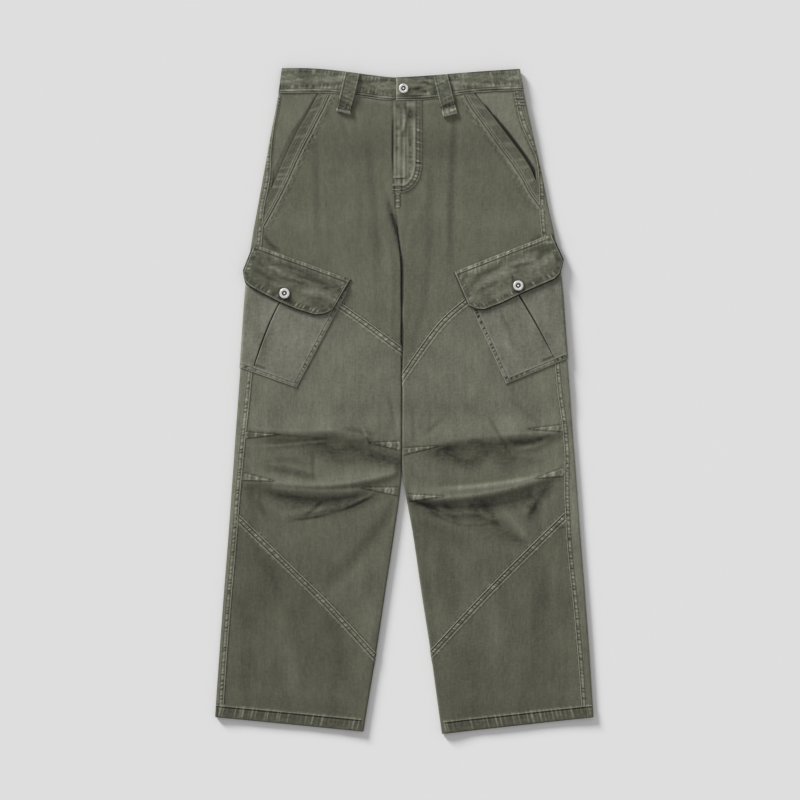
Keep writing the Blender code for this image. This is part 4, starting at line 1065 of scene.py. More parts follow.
def hip_outer(side, level):
    """The front's outer line at the hip: the pocket's seam, and the side seam under it."""
    pocket = HAND_POCKET[side]
    foot = pocket["seam_level"][-1] - POCKET_CLOSES
    seam_level = np.append(pocket["seam_level"], foot)
    seam = np.interp(-level, -seam_level, np.append(pocket["seam"], side_seam(side, foot)))
    return np.where(level < foot, side_seam(side, level), np.minimum(seam, side_seam(side, level))) - GAP


def wear_and_hollow_shade(side, across, level):
    """Fade of a panel: it grows where the form is convex, as rubbed wear, and goes down in hollows, as
    painted shade.
    """
    here = front_form(side, across, level)
    around = 0.0
    for turn in np.arange(8) * np.pi / 4:
        step = WEAR_AND_SHADE_REACH * np.cos(turn), WEAR_AND_SHADE_REACH * np.sin(turn)
        around = around + front_form(side, across + step[0], level + step[1])
    flat = 1 - ramp(section(side, across, level)[1], 0.0, 0.4)
    return np.clip((here - around / 8) * WEAR_AND_SHADE_GAIN * flat, -1, 1)


def make_front(name, side, columns, rows, cloth, node, form=None):
    across, level = grid(side, columns, rows)
    rise, fade = form(side, across, level) if form else (0.0, 0.0)
    fade = fade + wear_and_hollow_shade(side, across, level) + base_fade(cloth, side, across, level)
    # Painted shade and light in patches, with some wear; the dark patches are mottled too.
    patches = creases(PAINTED_SHADE_AND_WEAR[side], across, level)
    fade = fade + patches
    mottle = np.clip(-MOTTLED * patches, 0, 1)
    both = skins(side, across, level, rise, -WALL)
    make_panel(name + side, node + side, cloth, both, (across, level), fade, mottle, ("back_panel_" + side,))


def below_waist(side, across, level):
    """Painted light: the hip is paler where it comes out from under the waistband. The slit adds its painted
    shade.
    """
    pale = 0.42 * (1 - ramp(waist_seam(side, across) - level, 0.5, 8.0))
    return 0.0, pale + inner_shade(side, across, level)


def make_fronts(side):
    inner = line(inner_end, side)
    hip_columns = [(line(hip_outer, side), inner, spread(CLOSE_ROWS, 62, EDGE_ROLL))]
    side_columns = [(line(side_seam, side, -GAP), inner, spread(CLOSE_ROWS, 80, EDGE_ROLL))]
    high, low = KNEE_ZONE
    hip_rows = spread((0.0, 2.0, 4.5, 8.0), 110, (0.0,))
    hip = [(line(waist_seam, side, -GAP), line(upper_seam, side, SEAM_STEP), hip_rows)]
    knee = [
        (line(upper_seam, side, -SEAM_STEP), fixed(high), even(44)),
        (fixed(high), fixed(low), even(128)),
        (fixed(low), line(lower_seam, side, SEAM_STEP), even(28)),
    ]
    low_leg = [(line(lower_seam, side, -SEAM_STEP), line(hem_line, side), even(84))]
    make_front("hip_panel_", side, hip_columns, hip, "hip", "hip_front_", below_waist)
    make_front("knee_panel_", side, side_columns, knee, "leg", "knee_front_", dart_form)
    make_front("lower_leg_panel_", side, side_columns, low_leg, "leg", "shin_front_")


for side in MIRROR:
    make_fronts(side)
print("front panels:", sum(len(panel["piece"].data.polygons) for panel in panels.values()), "faces so far")

# %% [markdown]
# ## Felled seams of the legs
# Each seam strip lies over both of its panels, with its own lines where the seam shows: the joint, a
# ladder of puckers, and the stitched ridge. Where the cargo pocket covers a seam there is no strip.

# %% Side seams and slanting seams
HIP_SEAM_FOOT = 236.0  # level at which the side seam has gone in under the flap
KNEE_SEAM_TOP = {"right": 80.0, "left": 98.0}  # and from which it goes on, under the cargo pocket
SIDE_SEAM_FOOT = -482.0
SEAMS_MEET = -170.0  # level near which the lower slanting seam meets the side seam
UPPER_SLANT_START = 112.0  # position across, under the cargo pocket
LOWER_SLANT = (-175.0, 7.0, -392.0)  # its outer level and how far in it starts, and its inner level
PAST_INNER = 12.0  # how far the slanting seams go on past the inner line, to be tucked in


def seam_path(line_of, side, start, end, offset=0.0):
    """Flat positions along a line given across at a level, between two levels."""
    level = np.linspace(start, end, 160)
    return np.stack((line_of(side, level) + offset, level), axis=-1)


def slant_path(line_of, side, start, end, number=160):
    """Flat positions along a line given as a level at a position across."""
    across = np.linspace(start, end, number)
    return np.stack((across, line_of(side, across)), axis=-1)


for seed, side in enumerate(MIRROR):
    foot = HAND_POCKET[side]["seam_level"][-1]
    knee_foot = float(lower_seam(side, side_seam(side, SEAMS_MEET)))
    for part, panel, cloth, start, end, ends in (
        ("hip", "hip_panel_", "hip", foot - 1.0, HIP_SEAM_FOOT, (4, 4)),
        ("knee", "knee_panel_", "leg", KNEE_SEAM_TOP[side], knee_foot + 2.0, (4, 0.1)),
        ("low", "lower_leg_panel_", "leg", knee_foot + 2.0, SIDE_SEAM_FOOT, (0.1, 2)),
    ):
        path = seam_path(seam_line, side, start, end)
        make_strip(
            "side_seam_" + part + "_" + side, side, path, False, panel + side, cloth, SIDE_SECTION,
            seed=11 + 10 * len(seams) + seed, ends=ends, rows=(6.8,),
        )
    outer_level, inset, inner_level = LOWER_SLANT
    outer = float(seam_line(side, outer_level)) - inset
    for part, panel, cloth, line_of, start, end, first_seed, free in (
        ("hip", "hip_panel_", "hip", upper_seam, UPPER_SLANT_START, UPPER_SEAM[side]["level"][0], 41, 4),
        ("low", "lower_leg_panel_", "leg", lower_seam, outer, inner_level, 51, 2),
    ):
        path = slant_path(line_of, side, start, float(inner_line(side, end)) - PAST_INNER)
        make_strip(
            "slant_seam_" + part + "_" + side, side, path, True, panel + side, cloth, SLANT_SECTION,
            SLANT_PITCH, first_seed + seed, ends=(free, 0.1), tucked=True,
        )
print("seam strips:", len(seams))

# %% [markdown]
# ## Hems
# A hem is turned up twice and sewn once, 19 mm from the edge. The turned layers creep while they are
# sewn, so the whole hem twists into slanting puckers. It gets a strip of its own on the front, and
# another where the back comes round the side.

# %% Hems
HEM_SECTION = table(
    EDGE_ROW,
    (0.0, 0.15, -0.50, 0.0), (0.8, 0.50, -0.35, 0.1), (2.0, 0.70, 0.0, 0.3), (4.0, 0.76, 0.08, 0.5),
    (6.5, 0.78, 0.10, 0.6), (9.0, 0.78, 0.08, 0.7), (11.5, 0.76, 0.05, 0.8), (13.5, 0.72, 0.05, 0.8),
    (15.2, 0.56, 0.0, 0.7), (16.2, 0.24, -1.05, 0.9), (17.1, 0.22, -1.00, 0.9), (17.9, 0.52, 0.45, 0.5),
    (18.8, 0.58, 1.20, 0.4), (19.8, 0.36, 0.20, 0.4), (21.5, 0.10, 0.0, 0.3), (23.0, -0.25, 0.0, 0.0),
)
HEM_ROW = 18.8  # distance of its stitching from its edge
HEM_CORNERS = (-505.0, -500.0)  # levels at which its side seam and its rolled side are measured

for seed, side in enumerate(MIRROR):
    low = float(HEM_LINE[side]["level"][0])
    seam = float(seam_line(side, HEM_CORNERS[0]))
    inner = float(inner_line(side, low)) + FOLD
    outer = float(fold_start(side, HEM_CORNERS[1])) + 5.0
    for part, panel, start, end, ends in (
        ("front", "lower_leg_panel_", seam - 0.2, inner, (0.5, 2.5)),
        ("side", "back_panel_", outer, seam + 0.2, (3.0, 0.5)),
    ):
        path = slant_path(hem_line, side, start, end, 200)
        make_strip(
            "hem_" + part + "_" + side, side, path, False, panel + side, "leg", HEM_SECTION,
            HEM_PITCH, 61 + 10 * seed + len(seams), ends=ends, mottle=0.6, rows=(HEM_ROW,), slant=-0.15,
        )
print("hem strips made, strips in all:", len(seams))

# %% [markdown]
# ## Hand pockets
# The slanted pocket has a facing, sewn in behind, and a strip along its open edge. The strip's edge
# is turned and topstitched 7 mm in; a double row joins it to the front.

# %% Hand pockets
FACING_DROP = 1.9
FACING_HIDDEN = 9.0
FACING_FOOT = 8.0  # how far it goes on below the mouth
SEAM_GOES_ON = 6.0  # how far the pocket's seam goes on below its last point
MOUTH_SEWN = 0.93  # share of the strip's length that the row by its seam runs down
TACKS = (478.0, 473.0, 468.0)  # levels of the bar tacks on the side seam
MOUTH_OPENS = (425.0, 478.0)  # between these levels the slit grows from nothing to its full width
MOUTH_GAPE = {"right": 0.15, "left": 0.8}
MOUTH_SECTION = table(
    EDGE_ROW,
    (0.0, -0.10, -0.90, 0.0), (0.6, 0.12, -0.45, 0.1), (1.4, 0.24, 0.10, 0.2), (2.4, 0.26, 0.05, 0.5),
    (4.0, 0.24, 0.0, 0.8), (5.6, 0.20, 0.05, 1.0), (6.9, 0.14, 0.0, 1.0), (7.8, 0.15, 0.05, 0.9),
    (9.0, 0.04, 0.05, 0.7),
)
POCKET_SEAM = table(  # positive to the hip
    EDGE_ROW,
    (-5.6, -0.25, 0.0, 0.0), (-4.4, 0.08, 0.20, 0.1), (-3.4, 0.20, 0.45, 0.1), (-2.5, 0.14, 0.05, 0.0),
    (-1.6, 0.0, -0.90, 0.0), (-0.8, 0.22, 0.15, 0.0), (0.0, 0.40, 1.05, 0.0), (0.8, 0.22, 0.10, 0.0),
    (1.6, 0.0, -0.95, 0.0), (2.6, 0.18, 0.0, 0.1), (3.8, 0.32, 0.50, 0.1), (4.8, 0.34, 0.75, 0.1),
    (5.8, 0.20, 0.0, -0.5), (7.2, 0.12, -0.08, -0.5), (9.4, 0.10, -0.03, 0.35), (12.5, 0.05, 0.0, 0.3),
    (15.0, -0.25, 0.0, 0.0),
)
MOUTH_SHADOW = {"right": (0.4, 2.2, -0.5, 0.16), "left": (5.0, 8.0, -1.25, 0.40)}  # painted shadow of the mouth's edge on the facing: dark to, pale from


def mouth_line(side, level):
    pocket = HAND_POCKET[side]
    return np.interp(-level, -pocket["mouth_level"], pocket["mouth"])


def facing_end(side, level):
    """Where a facing ends, out of sight behind the strip of the pocket's mouth."""
    return np.minimum(mouth_line(side, level), side_seam(side, level)) - FACING_HIDDEN


def make_facing(side):
    foot = HAND_POCKET[side]["mouth_level"][-1] - FACING_FOOT
    stations = spread(CLOSE_ROWS, 20, (0.0, 4.0, 8.5))
    across, level = grid(
        side,
        [(line(side_seam, side, -GAP), line(facing_end, side), stations)],
        [(line(waist_seam, side, -GAP), fixed(foot), even(60))],
    )
    shows = side_seam(side, level) - mouth_line(side, level)
    from_mouth = across - mouth_line(side, level)
    gape = 0.15 + 0.85 * (1 - ramp(level, *MOUTH_OPENS))
    drop = 0.25 + (FACING_DROP - 0.25) * (1 - ramp(shows, 4.0, 12.0))
    rise = -(drop + (FACING_DROP - drop) * (1 - ramp(from_mouth, 0.2, 0.8 + 8.0 * gape)))
    both = skins(side, across, level, rise, rise - WALL)
    # The facing is painted dark near the mouth as the shadow of its edge, and paler beyond.
    dark_to, pale_from, dark, pale = MOUTH_SHADOW[side]
    fade = dark + (pale - dark) * ease(from_mouth / gape, dark_to, pale_from) + wear_and_hollow_shade(side, across, level)
    name = "pocket_facing_piece_" + side
    make_panel(name, "pocket_facing_" + side, "hip", both, (across, level), fade,
               rests_on=("back_panel_" + side,))


def make_mouth_strip(side, seed):
    """The strip between the pocket's open edge and its seam, level with the front."""
    pocket = HAND_POCKET[side]
    number = 190
    at = np.linspace(0, len(pocket["mouth"]) - 1, number)
    knots = np.arange(len(pocket["mouth"]), dtype=float)
    mouth = np.stack([smooth(knots, pocket[key], at) for key in ("mouth", "mouth_level")], axis=-1)
    seam = np.stack([np.interp(at, knots, pocket[key]) for key in ("seam", "seam_level")], axis=-1)
    width = np.linalg.norm(seam - mouth, axis=1)[:, None]
    away = MOUTH_SECTION["away"]
    rest = np.array((0.25, 0.5, 0.75, 1.0))
    distance = np.concatenate(
        (away + 0 * width, away[-1] + rest * np.maximum(width - away[-1], 0.4)), axis=1
    )
    share = distance / distance[:, -1:]
    flat = mouth[:, None] * (1 - share[..., None]) + seam[:, None] * share[..., None]
    across, level = flat[..., 0], flat[..., 1]
    across[:, -1] += 0.05
    across[-1] = side_seam(side, level[-1]) - GAP
    level[0] = waist_seam(side, across[0]) - GAP
    along = np.concatenate(((0,), np.cumsum(np.linalg.norm(np.diff(mouth, axis=0), axis=1))))[:, None]
    wave = pucker(along + 0.6 * distance, 11.0, seed) - PUCKER_MIDDLE
    edge_rise, edge_fade, pull = read(MOUTH_SECTION, distance)
    open_part = np.sin(np.pi * np.linspace(0, 1, number))[:, None]
    bend = MOUTH_GAPE[side] * open_part * (1 - share) ** 2
    rise = bend + edge_rise + PUCKER_RISE * 0.7 * wave * pull
    fade = edge_fade + 0.8 * wave * pull
    both = skins(side, across, level, rise, bend - WALL)
    name = "pocket_mouth_strip_" + side
    make_panel(name, "pocket_band_" + side, "hip", both, (across, level), fade, 0.25,
               ("hip_panel_" + side,), (distance, along + 0 * distance))
    row = np.argmin(np.abs(away - 6.9))
    sew(name, place(side, across[:, row], level[:, row], rise[:, row] + THREAD_SIT))
    stop = int(number * MOUTH_SEWN)
    sew(name, place(side, across[:stop, -2], level[:stop, -2], rise[:stop, -2] + THREAD_SIT))


for seed, side in enumerate(MIRROR):
    make_facing(side)
    make_mouth_strip(side, 81 + seed)
    pocket = HAND_POCKET[side]
    foot = pocket["seam_level"][-1] - SEAM_GOES_ON
    across = np.append(pocket["seam"], side_seam(side, foot))
    level = np.append(pocket["seam_level"], foot)
    level[0] = waist_seam(side, across[0]) - 1.0
    path = np.stack((np.minimum(across, side_seam(side, level)), level), axis=-1)
    make_strip(
        "pocket_seam_" + side, side, path, False, "hip_panel_" + side, "hip", POCKET_SEAM, pitch=9.0,
        seed=91 + seed, ends=(1.0, 8.0), rows=(0.0, 4.8), mottle=0.2,
    )
    facing = "pocket_facing_piece_" + side
    path = seam_path(seam_line, side, float(waist_seam(side, side_seam(side, 486.0))) - 1.0, level[-1] + 7.0)
    make_strip("side_seam_top_" + side, side, path, False, facing, "hip", SIDE_SECTION, seed=95 + seed,
               ends=(0.2, 5.0), rows=(6.8,))
    for at in TACKS:
        across = float(seam_line(side, at)) + np.linspace(5.0, -9.0, 16)
        tack(facing, place(side, across, at + 0 * across, 0.62))
print("hand pockets: facings", FACING_DROP, "mm below the front at their mouths")

# %% [markdown]
# ## Waistband
# The waistband is a folded strip of two layers with stiffening between them. Both long edges are
# topstitched, its worn surface is mottled, and the left end laps over the right one at the button.

# %% Waistband
BAND_RISE = 0.8
BAND_DEPTH = 1.4
LAP = 34.0
LAP_RISE = 1.2
LAP_DROP = 2.6
LAP_DIP = (0.5, 8.0)
LAP_SLOPE = (34.0, 44.0)
BAND_TOP = table(
    EDGE_ROW,
    (0.0, -0.60, -1.10, 0.0), (0.8, -0.12, -1.05, 0.1), (1.5, 0.04, -0.40, 0.3), (2.2, -0.02, 0.10, 0.6),
    (3.0, 0.02, 0.0, 1.0), (4.4, 0.04, 0.0, 1.3), (6.0, 0.0, 0.0, 0.9), (8.5, 0.0, 0.0, 0.5),
    (12.0, 0.0, 0.0, 0.1),
)
BAND_FOOT = table(
    EDGE_ROW,
    (0.0, -0.35, 0.50, 0.0), (0.6, -0.10, 0.90, 0.1), (1.4, 0.02, 0.20, 0.1), (2.4, -0.12, -1.20, 0.1),
    (3.5, -0.04, -0.20, 0.2), (4.6, 0.12, 0.60, 0.2), (5.5, 0.0, 0.0, 0.1), (6.4, -0.12, -0.95, 0.2),
    (7.4, 0.0, 0.05, 0.8), (9.0, 0.0, 0.10, 1.3), (11.5, 0.0, 0.05, 1.1), (14.0, 0.0, 0.0, 0.5),
    (17.0, 0.0, 0.0, 0.0),
)
BAND_CREASES = table(
    CREASE_ROW,
    (7, 498, 17, 493, 29, 494, -0.8, 2.0, 2.6), (5, 487, 14, 487, 28, 490, 0.6, 2.0, 2.6),
    (0, 500, 7, 507, 18, 511, -0.9, 1.8, 2.0), (10, 484, 20, 488, 36, 487, -0.7, 2.0, 2.4),
    (4, 503, 16, 502, 30, 499, 0.6, 2.0, 2.4), (12, 498, 24, 502, 42, 498, -0.6, 2.2, 2.6),
    (-6, 503, -4, 508, 2, 512, -0.6, 1.6, 1.8), (3, 481, 10, 480, 24, 482, -0.5, 1.8, 2.0),
)
BAND_RIM = table("away rise", (0.0, -0.6), (0.6, 0.0), (1.4, 0.25), (2.4, 0.1), (4.0, 0.0))  # the lap's end
BAND_RUBBED = table("away fade", (0.0, 0.0), (1.0, 0.7), (2.2, 0.4), (4.0, 0.0))
BAND_PITCH = 5.4
BAND_SEWN = {"right": 15.5, "left": -12.5}  # position across where its rows of stitching start
BAND_CLOUDS = table(  # worn and dark clouds, longer along the band than across it
    "along across_it strength", (21.0, 6.0, 0.36), (11.0, 4.0, 0.26), (6.0, 3.0, 0.20), (3.4, 4.0, 0.10),
)


def band_end(side, level):
    return inner_line(side, level) - (LAP if side == "right" else 0.0)


def lap_rise(side, from_end):
    """How far the band is raised near its front end, or sunk under the other end."""
    if side == "right":
        return -LAP_DROP * (1 - ramp(from_end, *LAP_DIP))
    return LAP_RISE * (1 - ramp(from_end, *LAP_SLOPE))


def make_waistband(side, seed):
    near_end = {"right": (0.0, *(LAP + np.array(LAP_DIP))), "left": (0.0, 0.6, 1.4, 2.4, 4.0, *LAP_SLOPE)}
    top, foot = list(BAND_TOP["away"][:-1]), list(BAND_FOOT["away"][:-1])
    across, level = grid(
        side,
        [
            (line(band_end, side), line(fold_start, side), spread(near_end[side], 140, (0.0,))),
            *round_side(side, inner_line, even(40)),
        ],
        [(line(waist_top, side), line(waist_seam, side), spread(top[:-1], 16, foot[:-1]))],
    )
    plan, angle, _ = section(side, across, level)
    on_front = 1 - ramp(angle, 0.2, 1.2)
    from_end = across - inner_line(side, level)
    lap = lap_rise(side, from_end)
    from_top = waist_top(side, plan, angle > np.pi / 2) - level
    from_foot = level - waist_seam(side, plan, angle > np.pi / 2)
    rise, fade, pull = (
        a + b for a, b in zip(read(BAND_TOP, from_top, right=0.0), read(BAND_FOOT, from_foot, right=0.0))
    )
    wave = pucker(across + 0.25 * level, BAND_PITCH, seed) - PUCKER_MIDDLE
    cloud = 0.0
    for k, (long, high, strength) in enumerate(zip(*BAND_CLOUDS.values())):
        turn = 1.7 * k + 2.3 * seed
        cloud = cloud + strength * np.sin(across / long + level / high + turn) * np.sin(
            across / (1.7 * long) - level / (0.8 * high) + 2.1 * turn
        )
    rise = rise + 0.25 * wave * pull + 0.5 * cloud
    fade = fade + 0.9 * wave * pull + cloud + 1.4 * ROLL_PAINTED_SHADE_AND_LIGHT[side] * ramp(angle, 0.1, 0.7)
    if side == "left":
        # The band's wrinkles are painted light on their crests and shade in their troughs.
        wrinkles = creases(BAND_CREASES, across, level)
        rise, fade = rise + wrinkles, fade + 1.4 * wrinkles
        rise, fade = rise + read(BAND_RIM, from_end)[0], fade + read(BAND_RUBBED, from_end)[0]
    both = skins(side, across, level, BAND_RISE + lap + rise * on_front, lap - BAND_DEPTH)
    name = "waistband_cloth_" + side
    make_panel(name, "waistband_" + side, "waistband", both, (across, level), fade, 0.9,
               ("back_panel_" + side,))
    front = np.linspace(BAND_SEWN[side], float(fold_start(side, 500)), 130)
    for line_of, offset in ((waist_top, -4.2), (waist_seam, 0.8), (waist_seam, 4.6)):
        at = line_of(side, front) + offset
        lapped = lap_rise(side, front - inner_line(side, at))
        sew(name, place(side, front, at, BAND_RISE + lapped - 0.15 + THREAD_SIT))


for seed, side in enumerate(MIRROR):
    make_waistband(side, 101 + seed)
    print("waistband", side, "has", len(panels["waistband_cloth_" + side]["piece"].data.polygons), "faces")

# %% [markdown]
# ## Fly overlap
# The closed fly shows as a stitched overlap that laps a little over the centre seam: straight, with a
# curve at its foot where two rows of stitching turn in to the bar tack. Its layers are rubbed most,
# in pale streaks over the folds inside.

# %% Fly overlap
PLACKET_LAP = 5.6  # how far it laps over the centre seam
PLACKET_WIDTH = 43.0
PLACKET_WALL = 1.0
PLACKET_FOOT = 327.0
PLACKET_CURVE = 48.0
PLACKET_TIP = 9.0
PLACKET_TOP = 474.0
PLACKET_INSETS = (3.9, 14.4)  # of its two curved rows of stitching, from its outer edge
PLACKET_ROWS = (471.0, 470.0, 356.0)  # levels: top of those two, top and foot of the one by the lap
PLACKET_TACK = (-18.0, -6.5, 352.5)  # its bar tack: from and to across, and its level
FLY_SECTION = table(  # away from the lap's edge; the dark band along the edge is painted shade
    "away rise fade",
    (0.0, -0.60, -1.60), (1.1, -0.40, -1.50), (1.7, -0.10, -0.10), (2.6, 0.08, 0.05), (3.4, 0.20, 0.60),
    (4.2, 0.22, 0.95), (5.0, 0.14, 0.35), (6.3, 0.04, 0.0), (8.7, 0.18, 0.65), (10.5, 0.20, 0.80),
    (12.6, 0.04, 0.20), (14.6, -0.06, -0.15), (16.4, 0.06, 0.40), (18.2, 0.18, 0.85), (19.7, 0.14, 0.55),
    (21.3, -0.04, -0.25), (22.9, 0.08, 0.40), (26.0, 0.0, 0.05), (30.0, 0.04, 0.20), (60.0, 0.0, 0.20),
)
FLY_ROWS = table(  # away from its outer edge
    EDGE_ROW,
    (0.0, 0.0, 0.0, 0.0), (1.2, 0.0, 0.05, 0.4), (2.6, 0.14, 0.45, 0.6), (3.9, 0.28, 0.90, 0.5),
    (5.0, 0.0, -0.85, 0.2), (6.2, 0.26, 0.30, 1.0), (8.0, 0.32, 0.60, 1.4), (10.0, 0.26, 0.25, 1.0),
    (11.3, 0.0, -0.85, 0.2), (12.5, 0.28, 0.35, 0.2), (14.4, 0.34, 1.20, 0.2), (16.2, 0.16, 0.25, 0.1),
    (18.5, 0.0, 0.0, 0.0),
)
FLY_DOTS = (28.0, 9.4)  # a column of sunken dots, painted dark as their shade: distance from the lap's edge and pitch
FLY_SHADE_AND_LIGHT = table(  # painted shade and light of folds and steps under it, away from the lap's edge and at levels
    CREASE_ROW,
    (24.5, 455, 21.5, 437, 17.0, 415, -0.7, 3.0, 3.0), (19.5, 450, 17.5, 437, 13.5, 425, 0.7, 2.6, 2.6),
    (25.0, 452, 32.0, 452, 41.0, 452, -0.6, 7.0, 6.0), (18.0, 472, 19.0, 466, 20.5, 459, -0.7, 2.4, 2.4),
    (22.0, 467, 28.0, 468, 35.0, 466, 0.6, 4.0, 3.5), (5.0, 430, 8.0, 430, 11.0, 430, -0.6, 2.4, 2.4),
    (5.0, 418, 8.0, 418, 11.0, 418, -0.6, 2.6, 2.6), (5.0, 399, 8.0, 399, 11.0, 399, -0.5, 3.0, 3.0),
    (7.0, 438, 9.0, 438, 11.0, 438, 0.6, 2.6, 2.6), (6.0, 466, 9.0, 464, 12.0, 466, -0.7, 3.4, 3.4),
    (37.0, 376.5, 41.0, 376.5, 46.5, 375.5, -1.4, 1.2, 1.2),
    (37.0, 373, 41.0, 372.5, 46.5, 372, 0.9, 1.3, 1.3),
    (3.8, 351.4, 12.0, 351.4, 20.5, 352, -1.3, 1.2, 1.2),
    (3.8, 354.4, 12.0, 354.4, 20.0, 355, 0.5, 1.2, 1.2),
)
FLY_FOOT = (350.0, 8.3, 4.2, 5.8)  # under its bar tack a ladder: top, middle, half width, its lines
FLY_CALM = (436.0, 452.0)  # over these levels the rows at its edge die out


def placket_width(level):
    into_curve = np.clip((PLACKET_FOOT + PLACKET_CURVE - level) / PLACKET_CURVE, 0, 1)
    return PLACKET_TIP + (PLACKET_WIDTH - PLACKET_TIP) * np.sqrt(1 - into_curve**2)


def placket_row(inset):
    """A stitched row beside the overlap's outer edge, down and round its curve."""
    steep = np.linspace(PLACKET_ROWS[0], PLACKET_FOOT + PLACKET_CURVE, 80)
    turn = np.linspace(0, np.radians(84), 50)[1:]
    level = np.append(steep, PLACKET_FOOT + inset + (PLACKET_CURVE - inset) * (1 - np.sin(turn)))
    width = np.append(
        0 * steep + PLACKET_WIDTH - inset,
        PLACKET_TIP + (PLACKET_WIDTH - inset - PLACKET_TIP) * np.cos(turn),
    )
    return inner_line("left", level) + width, level


def make_placket():
    straight = np.linspace(PLACKET_TOP, PLACKET_FOOT + PLACKET_CURVE, 104)
    turned = PLACKET_FOOT + PLACKET_CURVE * (1 - np.sin(np.linspace(0, np.pi / 2, 50)))
    levels = np.concatenate((straight, turned[1:]))
    offset, share = spread((0.0, 0.9, 1.7, 2.6, 3.4, 4.2, 5.0), 44, (0.0, 1.2))
    width = (placket_width(levels) + PLACKET_LAP)[:, None]
    from_edge = np.sort(np.clip(offset + share * width, 0, width), axis=1)
    from_edge += 0.001 * np.arange(len(offset))
    across = inner_line("left", levels)[:, None] - PLACKET_LAP + from_edge
    level = levels[:, None] + 0 * across
    level[0] = waist_seam("left", across[0]) - GAP
    rim = np.append(placket_width(levels), np.linspace(PLACKET_TIP, -30.0, 40))
    rim_level = np.append(levels, np.full(40, PLACKET_FOOT))
    from_centre = across - inner_line("left", level)
    outer_edge = np.hypot(from_centre[..., None] - rim, level[..., None] - rim_level).min(axis=-1)
    inner_part, rows = read(FLY_SECTION, from_edge), read(FLY_ROWS, outer_edge)
    within = ramp(outer_edge, 11.0, 18.0)
    calm = 1 - 0.55 * ramp(level, 412.0, 450.0)
    wave = pucker(level + 0.3 * across, 6.2, 120) - PUCKER_MIDDLE
    dots = pucker(level + 0.2 * across, FLY_DOTS[1], 121) * np.exp(-(((from_edge - FLY_DOTS[0]) / 1.9) ** 2))
    tones = creases(FLY_SHADE_AND_LIGHT, from_edge, level)
    below = 1 - ramp(level, FLY_FOOT[0] - 1.5, FLY_FOOT[0])
    ladder = below * np.exp(-(((from_edge - FLY_FOOT[1]) / FLY_FOOT[2]) ** 4))
    lines = below * np.exp(-(((np.abs(from_edge - FLY_FOOT[1]) - FLY_FOOT[3]) / 1.1) ** 2))
    rungs = pucker(level + 0.1 * across, 4.9, 122) - 0.4
    rows = [part * (1 - 0.6 * ramp(level, *FLY_CALM)) for part in rows]
    drift = 0.22 * np.sin(level / 8.0 + across / 3.0) * np.sin(level / 19.0 - across / 6.0)
    dark_edge = 1 - 0.55 * (ramp(level, 436.0, 446.0) + 1 - ramp(level, 356.0, 380.0))
    height = (GAP + PLACKET_WALL) * ramp(outer_edge, 0.0, 6.0) - 0.3 * (1 - ramp(outer_edge, 0.0, 1.5))
    rise = height + inner_part[0] * within + rows[0] + 0.34 * wave * rows[2] - 0.35 * dots * within
    # Painted shade along the lap's edge, in the dots and in the ladder's rungs and lines; the rows are
    # painted light and shade too.
    stripes = inner_part[1] * np.where(from_edge < 2.6, dark_edge, calm)
    fade = (stripes + drift) * within + rows[1] + 1.4 * wave * rows[2] + tones
    fade = fade - 0.8 * dots * within + ladder * (0.55 + 2.4 * rungs) - 0.9 * lines
    rise = rise + 0.3 * ladder * rungs
    both = skins("left", across, level, rise, -STRIP_SINK)
    make_panel("fly_overlap", "fly_placket", "hip", both, (across, level), fade, 0.35, ("hip_panel_left",))
    for inset in PLACKET_INSETS:
        sew("fly_overlap", place("left", *placket_row(inset), GAP + PLACKET_WALL + 0.1 + THREAD_SIT))
    level = np.linspace(*PLACKET_ROWS[1:], 110)
    across = inner_line("left", level) - PLACKET_LAP + 4.2
    sew("fly_overlap", place("left", across, level, GAP + PLACKET_WALL + THREAD_SIT))
    start, end, level = PLACKET_TACK
    tack("fly_overlap", place("left", np.linspace(start, end, 14), level + np.zeros(14), 1.8))


make_placket()
print("fly overlap is", PLACKET_WIDTH + PLACKET_LAP, "mm wide")

# %% [markdown]
# ## Cargo pockets
# A patch pocket wraps round the side of each leg. Its edges are turned in and sewn down with two
# rows, and a pleat down the middle lets it open: two folded lips with a slit between them, painted
# dark as its shade.

# %% Cargo pockets
POCKET_WALL = 1.2
POCKET_HEIGHT = 172.0
POCKET_BASE = GAP + POCKET_WALL
CARGO_POCKET = {
    "right": table("across level", (90, 172), (170, 21), (310, 71), (252, 233)),
    "left": table("across level", (89, 183), (160, 27), (309, 89), (253, 246)),
}
POCKET_EDGE = table(
    EDGE_ROW,
    (0.0, -1.10, -0.90, 0.0), (0.6, -0.62, 0.0, 0.0), (1.3, -0.30, 1.50, 0.0), (2.2, -0.14, -0.30, -0.2),
    (3.2, 0.0, 0.0, -1.0), (4.6, 0.10, 0.05, -1.4), (6.0, 0.06, 0.0, -1.1), (7.0, -0.08, -0.80, -0.2),
    (7.9, 0.10, 0.85, 0.0), (9.2, 0.06, 0.20, 0.2), (11.0, 0.0, 0.0, 0.0),
)
PLEAT_GAP = {"right": (0.5, 0.9), "left": (1.6, -0.9)}  # half its slit, and what is added below
POCKET_DRAPE_SHADE_AND_LIGHT = {  # painted shade and light of faint drapes, as rows like those of the legs
    "right": ((236, 130, 226, 90, 222, 60, -0.15, 6, 8), (170, 130, 188, 96, 196, 60, 0.12, 12, 12)),
    "left": ((150, 146, 162, 118, 178, 84, -0.4, 3, 5), (138, 140, 150, 108, 168, 76, 0.15, 6, 6)),
}
PLEAT_PIVOT = 0.756  # share of the height, from the top, at which a tilted slit is in the middle
PLEAT_LIP = table(
    "away rise", (0.0, 0.2), (0.4, 0.45), (1.0, 0.6), (2.2, 0.5), (5.0, 0.25), (9.0, 0.0),
)
PLEAT_BOW = {"right": (6.0, 0.0), "left": (3.0, 24.0)}  # how far the slit curves to the side, and tilts


